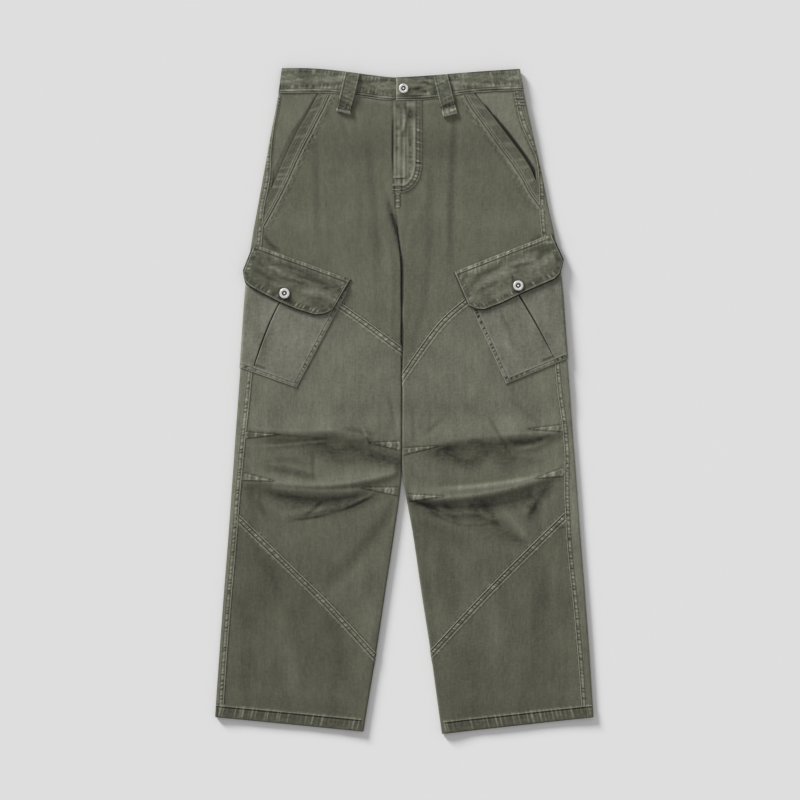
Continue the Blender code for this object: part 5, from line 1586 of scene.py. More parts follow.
def pocket_rows(side, down):
    """Start of each of the pocket's rows in flat positions, its direction and its length."""
    corners = np.stack((CARGO_POCKET[side]["across"], CARGO_POCKET[side]["level"]), axis=-1)
    inner = corners[0] + down[:, None] * (corners[1] - corners[0])
    outer = corners[3] + down[:, None] * (corners[2] - corners[3])
    width = np.linalg.norm(outer - inner, axis=1)
    return inner, (outer - inner) / width[:, None], width


def rows_to_fold(side, inner, way):
    """Where the side fold starts and ends along the pocket's rows."""
    start = np.zeros(len(inner))
    for _ in range(20):
        level = inner[:, 1] + start * way[:, 1]
        start = (fold_start(side, level) - inner[:, 0]) / way[:, 0]
    return start, start + np.pi * FOLD / way[:, 0]


def make_cargo_pocket(side, seed):
    edge = POCKET_EDGE["away"]
    down = np.concatenate((np.linspace(0, 1 - 12.0 / POCKET_HEIGHT, 160), 1 - edge[::-1] / POCKET_HEIGHT))
    inner, way, width = pocket_rows(side, down)
    start, end = rows_to_fold(side, inner, way)
    bow, tilt = PLEAT_BOW[side]
    pleat = width / 2 + bow * np.sin(np.pi * down) + tilt * (down - PLEAT_PIVOT)
    gap = PLEAT_GAP[side][0] + PLEAT_GAP[side][1] * down
    gap = 0.15 + gap * np.sin(np.pi * np.clip((down + 0.1) / 1.1, 0, 1)) ** 0.6
    columns = [0 * width + at for at in edge]
    near = np.linspace(0, 1, 16)[1:]
    columns += [edge[-1] + share * (pleat - 7.0 - edge[-1]) for share in near]
    columns += [pleat - gap - at for at in (4.0, 2.6, 1.6, 0.9, 0.4, 0.0)]
    columns += [pleat + part * gap for part in (-0.55, 0.0, 0.55)]
    columns += [pleat + gap + at for at in (0.0, 0.4, 0.9, 1.6, 2.6, 4.0)]
    columns += [pleat + 7.0 + share * (start - pleat - 7.0) for share in np.linspace(0, 1, 20)[:-1]]
    columns += [start + share * (end - start) for share in FOLD_SHARES]
    columns += [end + share * (width - end) for share in (0.25, 0.5, 0.75, 1.0)]
    run = np.sort(np.stack(columns, axis=1), axis=1)
    flat = inner[:, None] + run[..., None] * way[:, None]
    across, level = flat[..., 0], flat[..., 1]
    down, pleat, gap = down[:, None], pleat[:, None], gap[:, None]
    from_foot = POCKET_HEIGHT * (1 - down) + 0 * run
    nearest = np.minimum(run, from_foot)
    rise, fade, pull = read(POCKET_EDGE, nearest, right=0.0)
    by_side = pucker(POCKET_HEIGHT * down + 0.3 * run, POCKET_PITCH, seed)
    by_foot = pucker(run + 0.3 * from_foot, POCKET_PITCH, seed + 1)
    wave = np.where(run < from_foot, by_side, by_foot) - 0.2
    rise = rise + 0.45 * wave * pull
    fade = fade + 1.5 * wave * pull
    from_lip = np.abs(run - pleat) - gap
    live = ramp(from_foot, 8.0, 20.0) * ramp(down, 0.0, 0.08)
    lip = read(PLEAT_LIP, from_lip)[0]
    groove = ramp(-from_lip, -0.1, 0.35)
    rise = rise + live * (lip * (1 - groove) - 0.95 * groove)
    # The slit between the lips is painted dark as its shade.
    fade = fade + live * (0.2 * np.exp(-(((from_lip - 0.8) / 0.7) ** 2)) - 1.7 * groove)
    sag = np.sin(run / 13 + down * 5 + seed) * np.sin(down * 9 - run / 37)
    rise = rise + 0.3 * sag * ramp(nearest, 8.0, 20.0)
    fade = fade + 0.06 * sag + {"right": 0.12, "left": 0.06}[side]
    tacked = ramp(run, pleat - 20.0, pleat - 16.0) * (1 - ramp(run, pleat, pleat + 2.0))
    fade = fade - 0.9 * tacked * np.exp(-(((from_foot - 12.8) / 1.9) ** 2))
    for row in POCKET_DRAPE_SHADE_AND_LIGHT[side]:
        fade = fade + crease(row, across, level)
    on_top = 1 - ramp(section(side, across, level)[1], 0.0, 1.2)
    both = skins(side, across, level, POCKET_BASE + rise * on_top, GAP)
    name = "cargo_pocket_cloth_" + side
    below = ("knee_panel_" + side, "back_panel_" + side)
    make_panel(name, "cargo_pocket_" + side, "pocket", both, (across, level), fade, 0.25, below)
    for away in (1.3, 7.9):
        column = int(np.argmin(np.abs(edge - away)))
        row = len(down) - 1 - column
        sit = POCKET_BASE + THREAD_SIT + float(POCKET_EDGE["rise"][column])
        sew(name, place(side, across[: row + 1, column], level[: row + 1, column], sit))
        last = int(np.argmin(np.abs(run[row] - start[row])))
        sew(name, place(side, across[row, column:last], level[row, column:last], sit))


for seed, side in enumerate(MIRROR):
    make_cargo_pocket(side, 130 + 5 * seed)
print("cargo pockets:", POCKET_HEIGHT, "mm high")

# %% [markdown]
# ## Pocket flaps
# The flap is two layers turned inside out and pressed, so its edge is a firm ridge with the stitching
# behind it. It is sewn to the leg along its top, where a pale stitched band stands over a step of
# painted shade, and its button pulls faint creases into it.

# %% Pocket flaps
FLAP_SEAT = 2.7
FLAP_WALL = 1.8
FLAP_DEPTH = 71.0
FLAP_BAND = 6.0
FLAP_RAISE = 4.0  # how far the stitched band stands up over the corner
FLAP_SLOPE = 15.0
FLAP_DROOP = 3.2  # how far its outer end hangs over the side
FLAP_FADE = {"right": 0.0, "left": 0.26}
CARGO_FLAP = {
    "right": {"corner": (85.0, 188.5), "top_end": (239.0, 245.0)},
    "left": {"corner": (78.0, 200.5), "top_end": (233.5, 261.0)},
}
FLAP_FOOT = {
    "right": table(
        "along down",
        (10, 48), (13, 55), (22, 63), (35, 69.5), (64, 71), (94, 69.5), (124, 66), (146, 62.5),
        (155, 59), (161, 50), (165.5, 41),
    ),
    "left": table(
        "along down",
        (2, 50), (5, 57), (13, 65), (25, 70.5), (55, 70.5), (87, 68), (120, 66.5), (145, 65.5),
        (155, 61), (164, 50), (169.5, 41),
    ),
}
FLAP_TOP = table(
    EDGE_ROW,
    (0.0, -0.40, -0.90, 0.0), (0.7, 0.0, 0.10, 0.1), (1.5, 0.30, 1.00, 0.3), (2.8, 0.32, 0.60, 1.3),
    (4.4, 0.32, 0.65, 1.3), (5.4, 0.30, 0.80, 0.6), (6.2, 0.0, -0.70, 0.2), (7.0, -0.20, -1.10, 0.1),
    (7.8, -0.10, 0.0, 0.2), (9.2, 0.0, 0.0, 0.5), (12.0, 0.0, -0.12, 0.5), (16.0, 0.0, -0.05, 0.2),
    (20.0, 0.0, 0.0, 0.0),
)
FLAP_RIM = table(
    EDGE_ROW,
    (0.0, -0.75, -1.60, 0.0), (1.4, -0.20, -1.50, 0.0), (2.0, 0.14, 0.10, 0.1), (2.8, 0.32, 0.70, 0.2),
    (3.5, 0.20, 0.20, 0.5), (4.2, 0.08, -0.30, 0.6), (4.9, -0.04, -0.80, 0.5), (5.7, 0.10, 0.10, 1.2),
    (7.2, 0.20, 0.20, 1.7), (8.9, 0.15, 0.10, 1.5), (10.8, 0.05, 0.0, 0.8), (12.8, 0.0, 0.0, 0.0),
)
FLAP_CREASES = {
    "right": table(
        "along1 down1 along2 down2 height width",
        (30, 20, 86, 24, -0.8, 2.6), (52, 14, 120, 17, -0.5, 2.2), (96, 30, 140, 22, 0.6, 4.0),
        (20, 36, 70, 44, 0.5, 5.0), (112, 44, 150, 38, -0.5, 3.0), (56, 30, 104, 36, -0.45, 2.0),
        (60, 26, 100, 31, 0.4, 2.0), (118, 20, 146, 28, -0.5, 2.0), (12, 16, 40, 30, -0.5, 2.4),
        (84, 46, 120, 50, 0.35, 2.6),
    ),
    "left": table(
        "along1 down1 along2 down2 height width",
        (136, 20, 160, 22, -0.6, 4.0), (8, 14, 30, 13, -0.5, 3.0), (24, 22, 78, 18, -0.7, 2.6),
        (112, 12, 156, 14, -0.7, 4.0), (40, 34, 84, 30, 0.25, 4.0), (108, 34, 152, 40, 0.35, 5.0),
        (70, 12, 112, 14, -0.3, 3.0), (20, 46, 62, 40, -0.5, 3.0), (84, 26, 128, 34, -0.45, 2.0),
        (88, 22, 130, 29, 0.4, 2.0), (130, 28, 158, 24, -0.5, 2.0), (16, 30, 40, 24, -0.4, 2.2),
    ),
}
BUTTONS = {"waist": (-1.4, 492.6), "right": (188.8, 170.1), "left": (179.1, 182.2)}
BUTTONHOLE = (170.0, 193.5, 6.0)  # across, middle level and half length of the left flap's hole


def flap_frame(side):
    """Inner corner of the flap and its two directions, in flat positions."""
    corner, end = (np.array(CARGO_FLAP[side][key]) for key in ("corner", "top_end"))
    width = np.linalg.norm(end - corner)
    along = (end - corner) / width
    down = np.array((along[1], -along[0]))
    return corner - FLAP_RAISE * down, along, down, width


def flap_creases(side, run, depth):
    total = np.zeros(run.shape)
    rows = FLAP_CREASES[side]
    for k in range(len(rows["height"])):
        start = np.array((rows["along1"][k], rows["down1"][k]))
        way = np.array((rows["along2"][k], rows["down2"][k])) - start
        length = np.linalg.norm(way)
        way = way / length
        share = ((run - start[0]) * way[0] + (depth - start[1]) * way[1]) / length
        off = (run - start[0]) * way[1] - (depth - start[1]) * way[0]
        fade = ease(share, -0.1, 0.25) * (1 - ease(share, 0.75, 1.1))
        total += rows["height"][k] * fade * np.exp(-((off / rows["width"][k]) ** 2))
    return total


def make_cargo_flap(side, seed):
    corner, along, down, width = flap_frame(side)
    foot = FLAP_FOOT[side]
    path, _ = resample(np.stack((foot["along"], foot["down"] + FLAP_RAISE), axis=-1), 1.2)
    share = (path[:, 0] - path[0, 0]) / (path[-1, 0] - path[0, 0])
    reach = path[:, 1] / (FLAP_DEPTH + FLAP_RAISE)
    near, far = list(FLAP_TOP["away"]), list(FLAP_RIM["away"])
    offset, part = spread(near, 12, far)
    depth = offset[:, None] * reach + part[:, None] * path[:, 1]
    run = share * width + (path[:, 0] - share * width) * depth / path[:, 1]
    flat = corner + run[..., None] * along + depth[..., None] * down
    across, level = flat[..., 0], flat[..., 1]
    from_side = np.minimum(share, 1 - share) * width + 0 * depth
    from_foot = path[:, 1] - depth
    from_rim = np.minimum(from_side + 0.25 * (depth < 4), from_foot)
    top, rim = read(FLAP_TOP, depth, right=0.0), read(FLAP_RIM, from_rim, right=0.0)
    by_top = pucker(run + 0.4 * depth, EDGE_PITCH, seed) - PUCKER_MIDDLE
    round_rim = np.where(from_foot < from_side, run, depth) + 0.3 * from_rim
    by_rim = pucker(round_rim, 7.0, seed + 1) - PUCKER_MIDDLE
    near_rim = from_rim < 12.0
    rise = np.where(near_rim, np.minimum(rim[0], top[0] + rim[0]), top[0])
    rise = rise + 0.34 * by_top * top[2] * ramp(from_side, 1.0, 6.0) + 0.34 * by_rim * rim[2]
    pulls = flap_creases(side, run, depth) * ramp(from_rim, 5.0, 14.0)
    soft = np.sin(run / 9.0 + depth / 13.0) * np.sin(depth / 7.0 - run / 21.0 + seed)
    rise = rise + pulls + 0.2 * soft * ramp(from_rim, 4.0, 12.0)
    # Painted shade outlines the rim, and creases and puckers are painted light on their crests and shade in
    # their troughs.
    fade = np.where(near_rim, rim[1] + 0.5 * top[1], top[1])
    fade = fade + 1.2 * by_top * top[2] + 1.2 * by_rim * rim[2] + 1.1 * pulls + 0.16 * soft
    fade = fade + FLAP_FADE[side]
    if side == "left":
        # The buttonhole's slit is painted dark as its shade.
        across_hole, hole_level, half = BUTTONHOLE
        hole = np.exp(-(((across - across_hole) / 1.1) ** 2)) * (np.abs(level - hole_level) < half)
        fade = fade - 1.1 * hole
    # Round the button the flap dips, with a ring of painted shade.
    at_button = np.hypot(across - BUTTONS[side][0], level - BUTTONS[side][1])
    rise = rise - 0.5 * np.exp(-((at_button / 11.0) ** 2))
    fade = fade - 0.5 * np.exp(-(((at_button - 9.5) / 2.5) ** 2))
    seat = GAP + (FLAP_SEAT - GAP) * ease(depth, FLAP_BAND - 2.0, FLAP_SLOPE)
    seat = seat - FLAP_DROOP * ease(across - fold_start(side, level), -6.0, 12.0)
    outer = over_front(side, across, level, seat + FLAP_WALL + rise)
    inner = over_front(side, across, level, seat)
    name = "cargo_flap_cloth_" + side
    below = ("hip_panel_" + side, "cargo_pocket_cloth_" + side)
    make_panel(name, "cargo_flap_" + side, "flap", (outer, inner), (across, level), fade, 0.6, below)
    number = len(path)
    for away in (1.5, 5.4):
        row = int(np.argmin(np.abs(FLAP_TOP["away"] - away)))
        sew(name, outer[row, 3 : number - 3] + (0, 0, THREAD_SIT))
    row = len(offset) - 1 - int(np.argmin(np.abs(FLAP_RIM["away"] - 4.9)))
    inset = int(np.argmax(share * width > 4.9))
    border = np.concatenate(
        (outer[12:row, inset], outer[row, inset : number - inset], outer[row - 1 : 11 : -1, number - inset])
    )
    sew(name, border + (0, 0, THREAD_SIT))


for seed, side in enumerate(MIRROR):
    make_cargo_flap(side, 150 + 5 * seed)
print("flaps made")

# %% [markdown]
# ## Belt loops
# Each loop is a folded strip. The front ones are stitched along both sides and arch over the
# waistband, with their lower end folded under and bar-tacked. Those of the back are pressed flat
# under the garment, with a groove where their stitching would be.

# %% Belt loops
LOOP_WIDTH = 23.0
LOOP_WALL = 1.4
LOOP_SEAT = 1.0
LOOP_EDGE = np.array((0.0, 0.4, 1.0, 1.5, 2.0, 2.7, 3.6, 5.4, 7.4, 9.4))  # columns by each edge
LOOP_COLUMNS = np.concatenate((LOOP_EDGE - LOOP_WIDTH / 2, (0.0,), LOOP_WIDTH / 2 - LOOP_EDGE[::-1]))
BACK_LOOP_FOOT = 452.0
LOOP_ARCH = table(
    "share rise wall",
    (0.0, 1.1, 0.9), (0.05, 1.5, 1.4), (0.18, 2.5, 1.4), (0.36, 3.0, 1.4), (0.54, 2.7, 1.4),
    (0.72, 1.6, 1.4), (0.85, 1.0, 1.5), (0.89, 0.9, 2.6), (0.97, 0.9, 2.7), (1.0, 0.9, 1.8),
)
# The fade of a loop's section paints light on its rounded edges and shade in the groove of its stitching.
LOOP_SECTION = table(
    "away rise fade",
    (0.0, -0.5, -0.4), (0.4, 0.15, 0.3), (1.0, 0.42, 0.75), (2.0, 0.45, 0.55), (2.7, 0.10, -0.50),
    (3.6, 0.0, -0.10), (6.0, 0.0, -0.05), (11.5, 0.05, 0.0),
)
FRONT_LOOPS = {"right": (81.8, (96.3, 454.7)), "left": (56.4, (72.5, 449.7))}
BACK_LOOP_SECTION = table(
    "away rise", (0.0, -0.35), (0.5, 0.0), (1.0, 0.0), (2.0, 0.0), (2.7, -0.2), (3.6, 0.0),
)
BACK_LOOP = 108.0  # position across of the middle of a side one
LOOP_SHADE = {  # its turned end: shares where the shade starts, is full, ends, and its fade
    "right": (0.45, 0.90, 0.93, 0.955, -0.7),
    "left": (0.66, 0.74, 0.77, 0.81, -0.9),
}
LOOP_LIP = {"right": (0.95, 0.97, 1.4), "left": (0.79, 0.83, 0.25)}
LOOP_EDGES = {"right": (1.2, 0.6), "left": (0.6, 1.1)}  # how strong the wear and the painted light and shade of its two edges are
CENTRE_LOOP = 6.0


def make_front_loop(side, top_across, foot, seed):
    top = np.array((top_across, waist_top(side, np.array(top_across)) - 0.5))
    foot = np.array(foot)
    way = (foot - top) / np.linalg.norm(foot - top)
    offset = LOOP_COLUMNS
    share = np.sort(np.concatenate((np.linspace(0, 0.84, 40), np.linspace(0.855, 1.0, 16))))
    centre = top + share[:, None] * (foot - top)
    across = centre[:, :1] - offset * way[1]
    level = centre[:, 1:] + offset * way[0]
    level[0] = waist_top(side, across[0]) - GAP
    from_side = LOOP_WIDTH / 2 - np.abs(offset) + 0 * share[:, None]
    rise, wall = (column[:, None] + 0 * offset for column in read(LOOP_ARCH, share))
    profile = read(LOOP_SECTION, from_side)
    share = share[:, None]
    wave = pucker(60 * share + 0.2 * offset, 5.0, seed) - PUCKER_MIDDLE
    both = skins(side, across, level, rise + wall + profile[0] + 0.18 * wave, rise)
    on, full, off, end, depth = LOOP_SHADE[side]
    streaks = 0.5 * np.sin(1.9 * offset + 5.0 * share) + 0.5 * np.sin(0.83 * offset - 11.0 * share + seed)
    frayed = 0.012 * np.sin(1.3 * offset + seed) + 0.008 * np.sin(3.1 * offset)
    turned = ease(share, on, full) * (1 - ease(share + frayed, off, end))
    start, end, pale = LOOP_LIP[side]
    lip = ramp(share + frayed, start, end)
    fade = profile[1] * (1 - turned) * np.where(offset < 0, *LOOP_EDGES[side]) + 0.7 * wave
    fade = fade + depth * turned * (1 + 0.8 * streaks) + lip * (pale + 0.5 * streaks) + 0.12 * streaks
    name = "belt_loop_cloth_" + side
    along = (across - top[0]) * way[0] + (level - top[1]) * way[1]
    make_panel(name, "belt_loop_front_" + side, "waistband", both, (across, level), fade, 1.0,
               ("waistband_cloth_" + side,), (offset + 0 * along, along))
    for column in (4, len(offset) - 5):
        sew(name, place(side, across[3:50, column], level[3:50, column],
                        (rise + wall)[3:50, column] + 0.35 + THREAD_SIT))
    tack(name, place(side, across[-4, 2:-2], level[-4, 2:-2], (rise + wall)[-4, 2:-2] + 0.3))


def make_back_loop(name, node, side, middle):
    offset = LOOP_COLUMNS
    top = waist_top(side, np.array(middle)) - 1.0
    level = np.linspace(top, BACK_LOOP_FOOT, 40)[:, None] + 0 * offset
    across = underside(side, middle + offset, level)
    from_side = LOOP_WIDTH / 2 - np.abs(offset) + 0 * level
    sunk = read(BACK_LOOP_SECTION, from_side)[0]
    fade = read(LOOP_SECTION, from_side)[1]
    both = skins(side, across, level, LOOP_SEAT + LOOP_WALL + sunk, LOOP_SEAT)
    make_panel(name, node, "waistband", both, (across, level), fade, 1.0,
               ("waistband_cloth_" + side,), (offset + 0 * level, level))


for seed, side in enumerate(MIRROR):
    make_front_loop(side, *FRONT_LOOPS[side], 170 + seed)
    make_back_loop("back_loop_cloth_" + side, "belt_loop_back_" + side, side, BACK_LOOP)
make_back_loop("back_loop_cloth_centre", "belt_loop_back_centre", "right", CENTRE_LOOP)
print("belt loops made, cloth pieces in all:", len(panels))

# %% [markdown]
# ## Buttons
# The buttons are turned rings: a rounded rim, a sunken floor and a small stud that rivets them on. A
# profile turned through a circle with enough sides looks round even close up.

# %% Buttons
BUTTON_PROFILE = table(
    "radius height wear",
    (8.1, 0.0, -1.3), (8.45, 0.2, -1.3), (8.5, 0.7, -1.0), (8.35, 1.2, -0.3), (8.0, 1.6, 0.5),
    (7.5, 1.85, 0.8), (6.9, 1.95, 0.9), (6.2, 2.0, 0.9), (5.3, 2.0, 0.9), (4.5, 1.9, 0.9),
    (4.0, 1.75, 0.6), (3.65, 1.4, -0.4), (3.4, 1.0, -1.2), (3.0, 0.7, -1.4), (2.3, 0.65, -1.4),
    (1.9, 0.7, -1.2), (1.6, 0.95, -0.3), (1.4, 1.25, 0.8), (1.0, 1.45, 1.0), (0.5, 1.5, 1.0),
    (0.12, 1.52, 1.0), (0.12, 0.0, 0.0), (3.5, 0.0, 0.0),
)
BUTTON_SIDES = 48
WAIST_BUTTON = 0.93  # its size against those of the flaps
BUTTON_SITS = 0.4  # how far it sits over a flap's face


def make_button(name, node, side, across, level, rise, size=1.0):
    seat = over_front(side, np.array(across), np.array(level), rise)
    turn = np.arange(BUTTON_SIDES) * 2 * np.pi / BUTTON_SIDES
    circle = np.stack((np.cos(turn), np.sin(turn), 0 * turn), axis=-1)
    radius, height, wear = BUTTON_PROFILE.values()
    radius = size * radius
    points = seat + radius[:, None, None] * circle + height[:, None, None] * np.array((0, 0, 1.0))
    rings = len(radius)
    number = np.arange(rings * BUTTON_SIDES).reshape(rings, BUTTON_SIDES)
    closed = np.concatenate((number, number[:, :1]), axis=1)
    closed = np.concatenate((closed, closed[:1]))
    faces = np.concatenate([quads(closed[k], closed[k + 1]) for k in range(rings)])
    points = points.reshape(-1, 3)
    values = {"fade": np.repeat(wear, BUTTON_SIDES)}
    piece = make_mesh(name, points, faces, points[:, :2], values, metal)
    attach(piece, "root")
    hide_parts(node)


for side in MIRROR:
    seat = FLAP_SEAT + FLAP_WALL + BUTTON_SITS
    make_button("pocket_button_" + side, "button_pocket_" + side, side, *BUTTONS[side], seat)
seat = BAND_RISE + LAP_RISE + GAP
make_button("waist_button", "button_waist", "left", *BUTTONS["waist"], seat, WAIST_BUTTON)
print("buttons are", 2 * BUTTON_PROFILE["radius"].max(), "mm wide")

# %% [markdown]
# ## Centre seam
# From the foot of the fly the two hips are joined by a felled seam that runs down between the legs.
# Only its upper part stays on top; below that the cloth sinks into a smooth valley.

# %% Centre seam
CENTRE_SECTION = table(
    EDGE_ROW,
    (-0.6, -0.25, -0.40, 0.0), (0.8, 0.05, -0.20, 0.1), (1.8, 0.10, -0.60, 0.2), (2.7, 0.05, -1.00, 0.3),
    (4.0, 0.28, 0.30, 0.9), (5.6, 0.42, 0.90, 1.5), (7.6, 0.42, 0.95, 1.5), (9.4, 0.26, 0.30, 0.9),
    (10.7, 0.05, -0.95, 0.3), (12.2, 0.05, -0.10, 0.3), (14.5, -0.25, 0.0, 0.0),
)
CENTRE_ENDS = (351.0, 276.0)  # levels of its top, just below the fly's bar tack, and of its foot
CENTRE_OFFSET = -4.0  # from the inner line
path = seam_path(inner_line, "left", *CENTRE_ENDS, CENTRE_OFFSET)
make_strip(
    "centre_seam", "left", path, True, "hip_panel_left", "hip", CENTRE_SECTION, pitch=4.9, seed=181,
    ends=(1.0, 34.0), rows=(), slant=0.0,
)
print("strips in all:", len(seams))

# %% [markdown]
# ## Stitching
# A seam is sewn with thousands of stitches, so they are laid by Geometry Nodes: a path is resampled
# at the stitch pitch, and a small lens-shaped stitch is set on every point, turned along the path. The
# same tree makes bar tacks, where close stitches lie across the path. Instances don't leave Blender,
# so the tree realizes them, and each result is kept as a plain mesh.

# %% Geometry Nodes tree for stitches
def make_stitch_tree():
    tree = bpy.data.node_groups.new("stitches along a path", "GeometryNodeTree")
    tree.interface.new_socket("Geometry", in_out="INPUT", socket_type="NodeSocketGeometry")
    sizes = {"Pitch": 0.0032, "Length": 0.0026, "Thickness": 0.0006, "Turn": 0.0, "Looseness": 0.06}
    for label, value in sizes.items():
        socket = tree.interface.new_socket(label, in_out="INPUT", socket_type="NodeSocketFloat")
        socket.default_value = value
    tree.interface.new_socket("Seed", in_out="INPUT", socket_type="NodeSocketInt")
    tree.interface.new_socket("Thread", in_out="INPUT", socket_type="NodeSocketMaterial")
    tree.interface.new_socket("Geometry", in_out="OUTPUT", socket_type="NodeSocketGeometry")
    given = tree.nodes.new("NodeGroupInput").outputs
    curve = add_node(tree, "GeometryNodeMeshToCurve", {0: given["Geometry"]})
    inputs = {"Curve": curve.outputs[0], "Length": given["Pitch"]}
    points = add_node(tree, "GeometryNodeResampleCurve", inputs, mode="LENGTH")
    ball = add_node(tree, "GeometryNodeMeshUVSphere", {"Segments": 5, "Rings": 3, "Radius": 0.5})
    inputs = {0: given["Thickness"], 1: given["Thickness"], 2: given["Length"]}
    size = add_node(tree, "ShaderNodeCombineXYZ", inputs)
    inputs = {"Geometry": ball.outputs[0], "Scale": size.outputs[0], "Rotation": (0.0, np.pi / 2, 0.0)}
    stitch = add_node(tree, "GeometryNodeTransform", inputs)
    tangent = tree.nodes.new("GeometryNodeInputTangent")
    inputs = {"Vector": tangent.outputs[0]}
    aligned = add_node(tree, "FunctionNodeAlignRotationToVector", inputs, axis="X")
    least = math(tree, "MULTIPLY", given["Looseness"], -1.0)
    loose = tree.nodes.new("FunctionNodeRandomValue")
    loose.data_type = "FLOAT"
    tree.links.new(least, loose.inputs[2])
    tree.links.new(given["Looseness"], loose.inputs[3])
    tree.links.new(given["Seed"], loose.inputs["Seed"])
    inputs = {2: math(tree, "ADD", given["Turn"], loose.outputs[1])}
    turn = add_node(tree, "ShaderNodeCombineXYZ", inputs)
    euler = add_node(tree, "FunctionNodeEulerToRotation", {0: turn.outputs[0]})
    inputs = {0: aligned.outputs[0], 1: euler.outputs[0]}
    turned = add_node(tree, "FunctionNodeRotateRotation", inputs, rotation_space="LOCAL")
    inputs = {"Points": points.outputs[0], "Instance": stitch.outputs[0], "Rotation": turned.outputs[0]}
    laid = add_node(tree, "GeometryNodeInstanceOnPoints", inputs)
    real = add_node(tree, "GeometryNodeRealizeInstances", {0: laid.outputs[0]})
    shaded = add_node(tree, "GeometryNodeSetShadeSmooth", {0: real.outputs[0]})
    inputs = {"Geometry": shaded.outputs[0], "Material": given["Thread"]}
    done = add_node(tree, "GeometryNodeSetMaterial", inputs)
    out = tree.nodes.new("NodeGroupOutput")
    tree.links.new(done.outputs[0], out.inputs[0])
    return tree


stitch_tree = make_stitch_tree()


def make_stitches(name, paths, settings):
    """A plain mesh of stitches along paths of points in millimetres."""
    points, edges, first = [], [], 0
    for path in paths:
        points.append(path * MM)
        edges += [(first + k, first + k + 1) for k in range(len(path) - 1)]
        first += len(path)
    mesh = bpy.data.meshes.new(name)
    mesh.from_pydata(np.concatenate(points).tolist(), edges, [])
    piece = new_object(name, mesh)
    modifier = piece.modifiers.new("stitches", "NODES")
    modifier.node_group = stitch_tree
    settings = {**settings, "Thread": thread}
    for item in stitch_tree.interface.items_tree:
        if item.in_out == "INPUT" and item.name in settings:
            modifier[item.identifier] = settings[item.name]
    evaluated = piece.evaluated_get(bpy.context.evaluated_depsgraph_get())
    piece.modifiers.clear()
    piece.data = bpy.data.meshes.new_from_object(evaluated)
    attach(piece, "root")
    return piece


TACK_SETTINGS = {"Pitch": 0.0006, "Length": 0.0028, "Turn": np.pi / 2, "Looseness": 0.15}
with_panel = {}
for kind, rows, settings in (("stitches_", stitch_rows, {}), ("bar_tacks_", tack_rows, TACK_SETTINGS)):
    for seed, (panel, paths) in enumerate(rows.items()):
        piece = make_stitches(kind + panel, paths, {**settings, "Seed": seed})
        with_panel.setdefault(panel, []).append(piece)
print("stitching objects:", sum(len(pieces) for pieces in with_panel.values()))

# %% [markdown]
# ## What rides and replaces
# Every cut piece rides on the root body and stands for its soft solid, which is hidden. The size it
# was cut to is measured on the flat positions: the area inside the border of its grid.

# %% Bodies, hidden nodes and cut sizes
floor = new_object("floor", bpy.data.meshes.new("floor"))
for piece, panel in seams:
    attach(piece, "root")
    with_panel.setdefault(panel, []).append(piece)


def flat_size(flat):
    """Width, length and area of a cut piece in metres, from its flat positions."""
    across, level = flat
    x, y = (np.concatenate((at[0], at[1:, -1], at[-1, -2::-1], at[-2:0:-1, 0])) for at in (across, level))
    area = abs(np.sum(x * np.roll(y, -1) - np.roll(x, -1) * y)) / 2
    return float(np.ptp(x)) * MM, float(np.ptp(y)) * MM, float(area) * MM * MM


cut_sizes = {}
for name, panel in panels.items():
    piece = panel["piece"]
    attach(piece, "root")
    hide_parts(panel["node"])
    width, length, area = flat_size(panel["cut"])
    cut_sizes[name] = (round(width, 3), round(length, 3), round(area, 4))
for name, size in cut_sizes.items():
    print(name, "cut to", size)

# %% [markdown]
# ## Table, light and camera
# The garment lies on a plain pale surface. A broad soft lamp stands low at its upper left, so every
# fold and pucker casts a little shade, and an even pale surround fills the rest. The camera looks
# straight down from far enough that the edges aren't seen from the side.

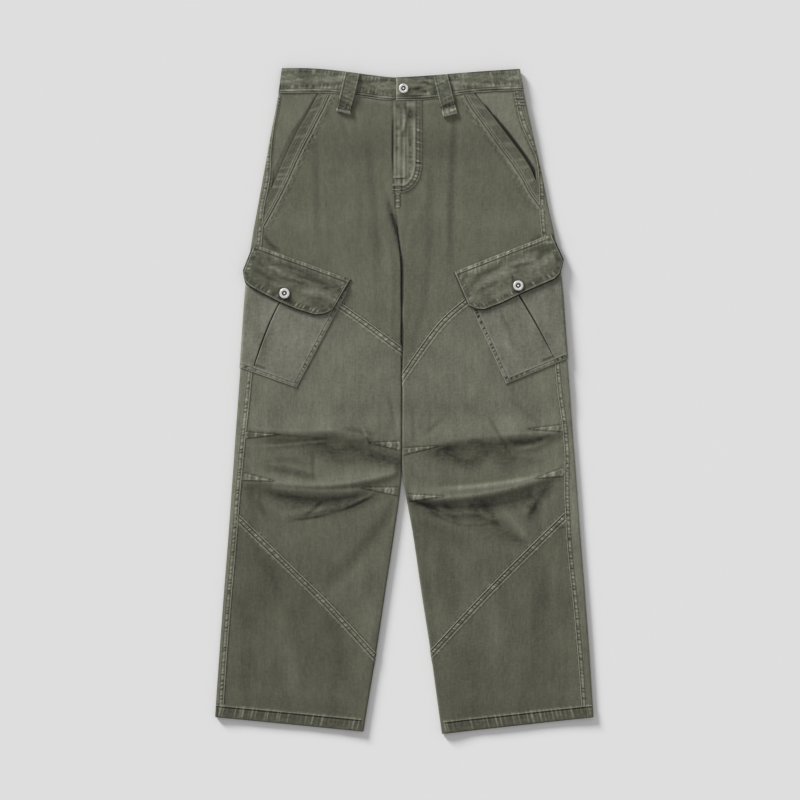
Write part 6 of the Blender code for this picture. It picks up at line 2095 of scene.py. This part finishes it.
# %% Floor, lights and camera
def make_floor():
    square = ((-1, -1), (1, -1), (1, 1), (-1, 1))
    corners = [(x * FLOOR_HALF, y * FLOOR_HALF, FLOOR_LEVEL) for x, y in square]
    floor.data.from_pydata(corners, [], [(0, 1, 2, 3)])
    material, tree, shader = new_material("pale paper", {"Roughness": 1.0, "Specular IOR Level": 0.0})
    spot = add_node(tree, "ShaderNodeTexCoord", {}).outputs["Object"]
    made = add_node(tree, "ShaderNodeTexNoise", {"Vector": spot, "Scale": 3.0, "Detail": 1.0})
    tones = ((*[FLOOR_TONE * part] * 3, 1.0) for part in (1.0, 1.01))
    tree.links.new(mix(tree, made.outputs[0], *tones), shader.inputs["Base Color"])
    floor.data.materials.append(material)


FLOOR_HALF = 15.0  # metres, so that its end isn't seen from low down
FLOOR_LEVEL = -0.0002
FLOOR_TONE = 0.790
SUN = {"elevation": 16.5, "azimuth": 128.0, "strength": 4.95, "angle": 14.0}
SKY = 0.475
CAMERA = {"place": (-0.0071, 0.0024, 3.4), "sees": 1.263, "sensor": 36.0}

make_floor()
sun = new_object("lamp", bpy.data.lights.new("lamp", "SUN"))
sun.data.energy = SUN["strength"]
sun.data.angle = np.radians(SUN["angle"])
sun.rotation_euler = (np.radians(90.0 - SUN["elevation"]), 0.0, np.radians(SUN["azimuth"] + 90.0))
world = bpy.data.worlds.new("surround")
world.use_nodes = True
world.node_tree.nodes["Background"].inputs["Color"].default_value = (1.0, 1.0, 1.0, 1.0)
world.node_tree.nodes["Background"].inputs["Strength"].default_value = SKY
bpy.context.scene.world = world
camera = new_object("camera", bpy.data.cameras.new("camera"))
camera.location = CAMERA["place"]
camera.data.sensor_width = CAMERA["sensor"]
camera.data.lens = CAMERA["sensor"] * CAMERA["place"][2] / CAMERA["sees"]
bpy.context.scene.camera = camera
bpy.context.scene.view_settings.view_transform = "Standard"
print("camera sees", CAMERA["sees"], "m across")

# %% [markdown]
# ## Last update
# The view layer is brought up to date. The shells have to stay inside the box of the solids, apart
# from what cloth may stand proud.

# %% Update
bpy.context.view_layer.update()
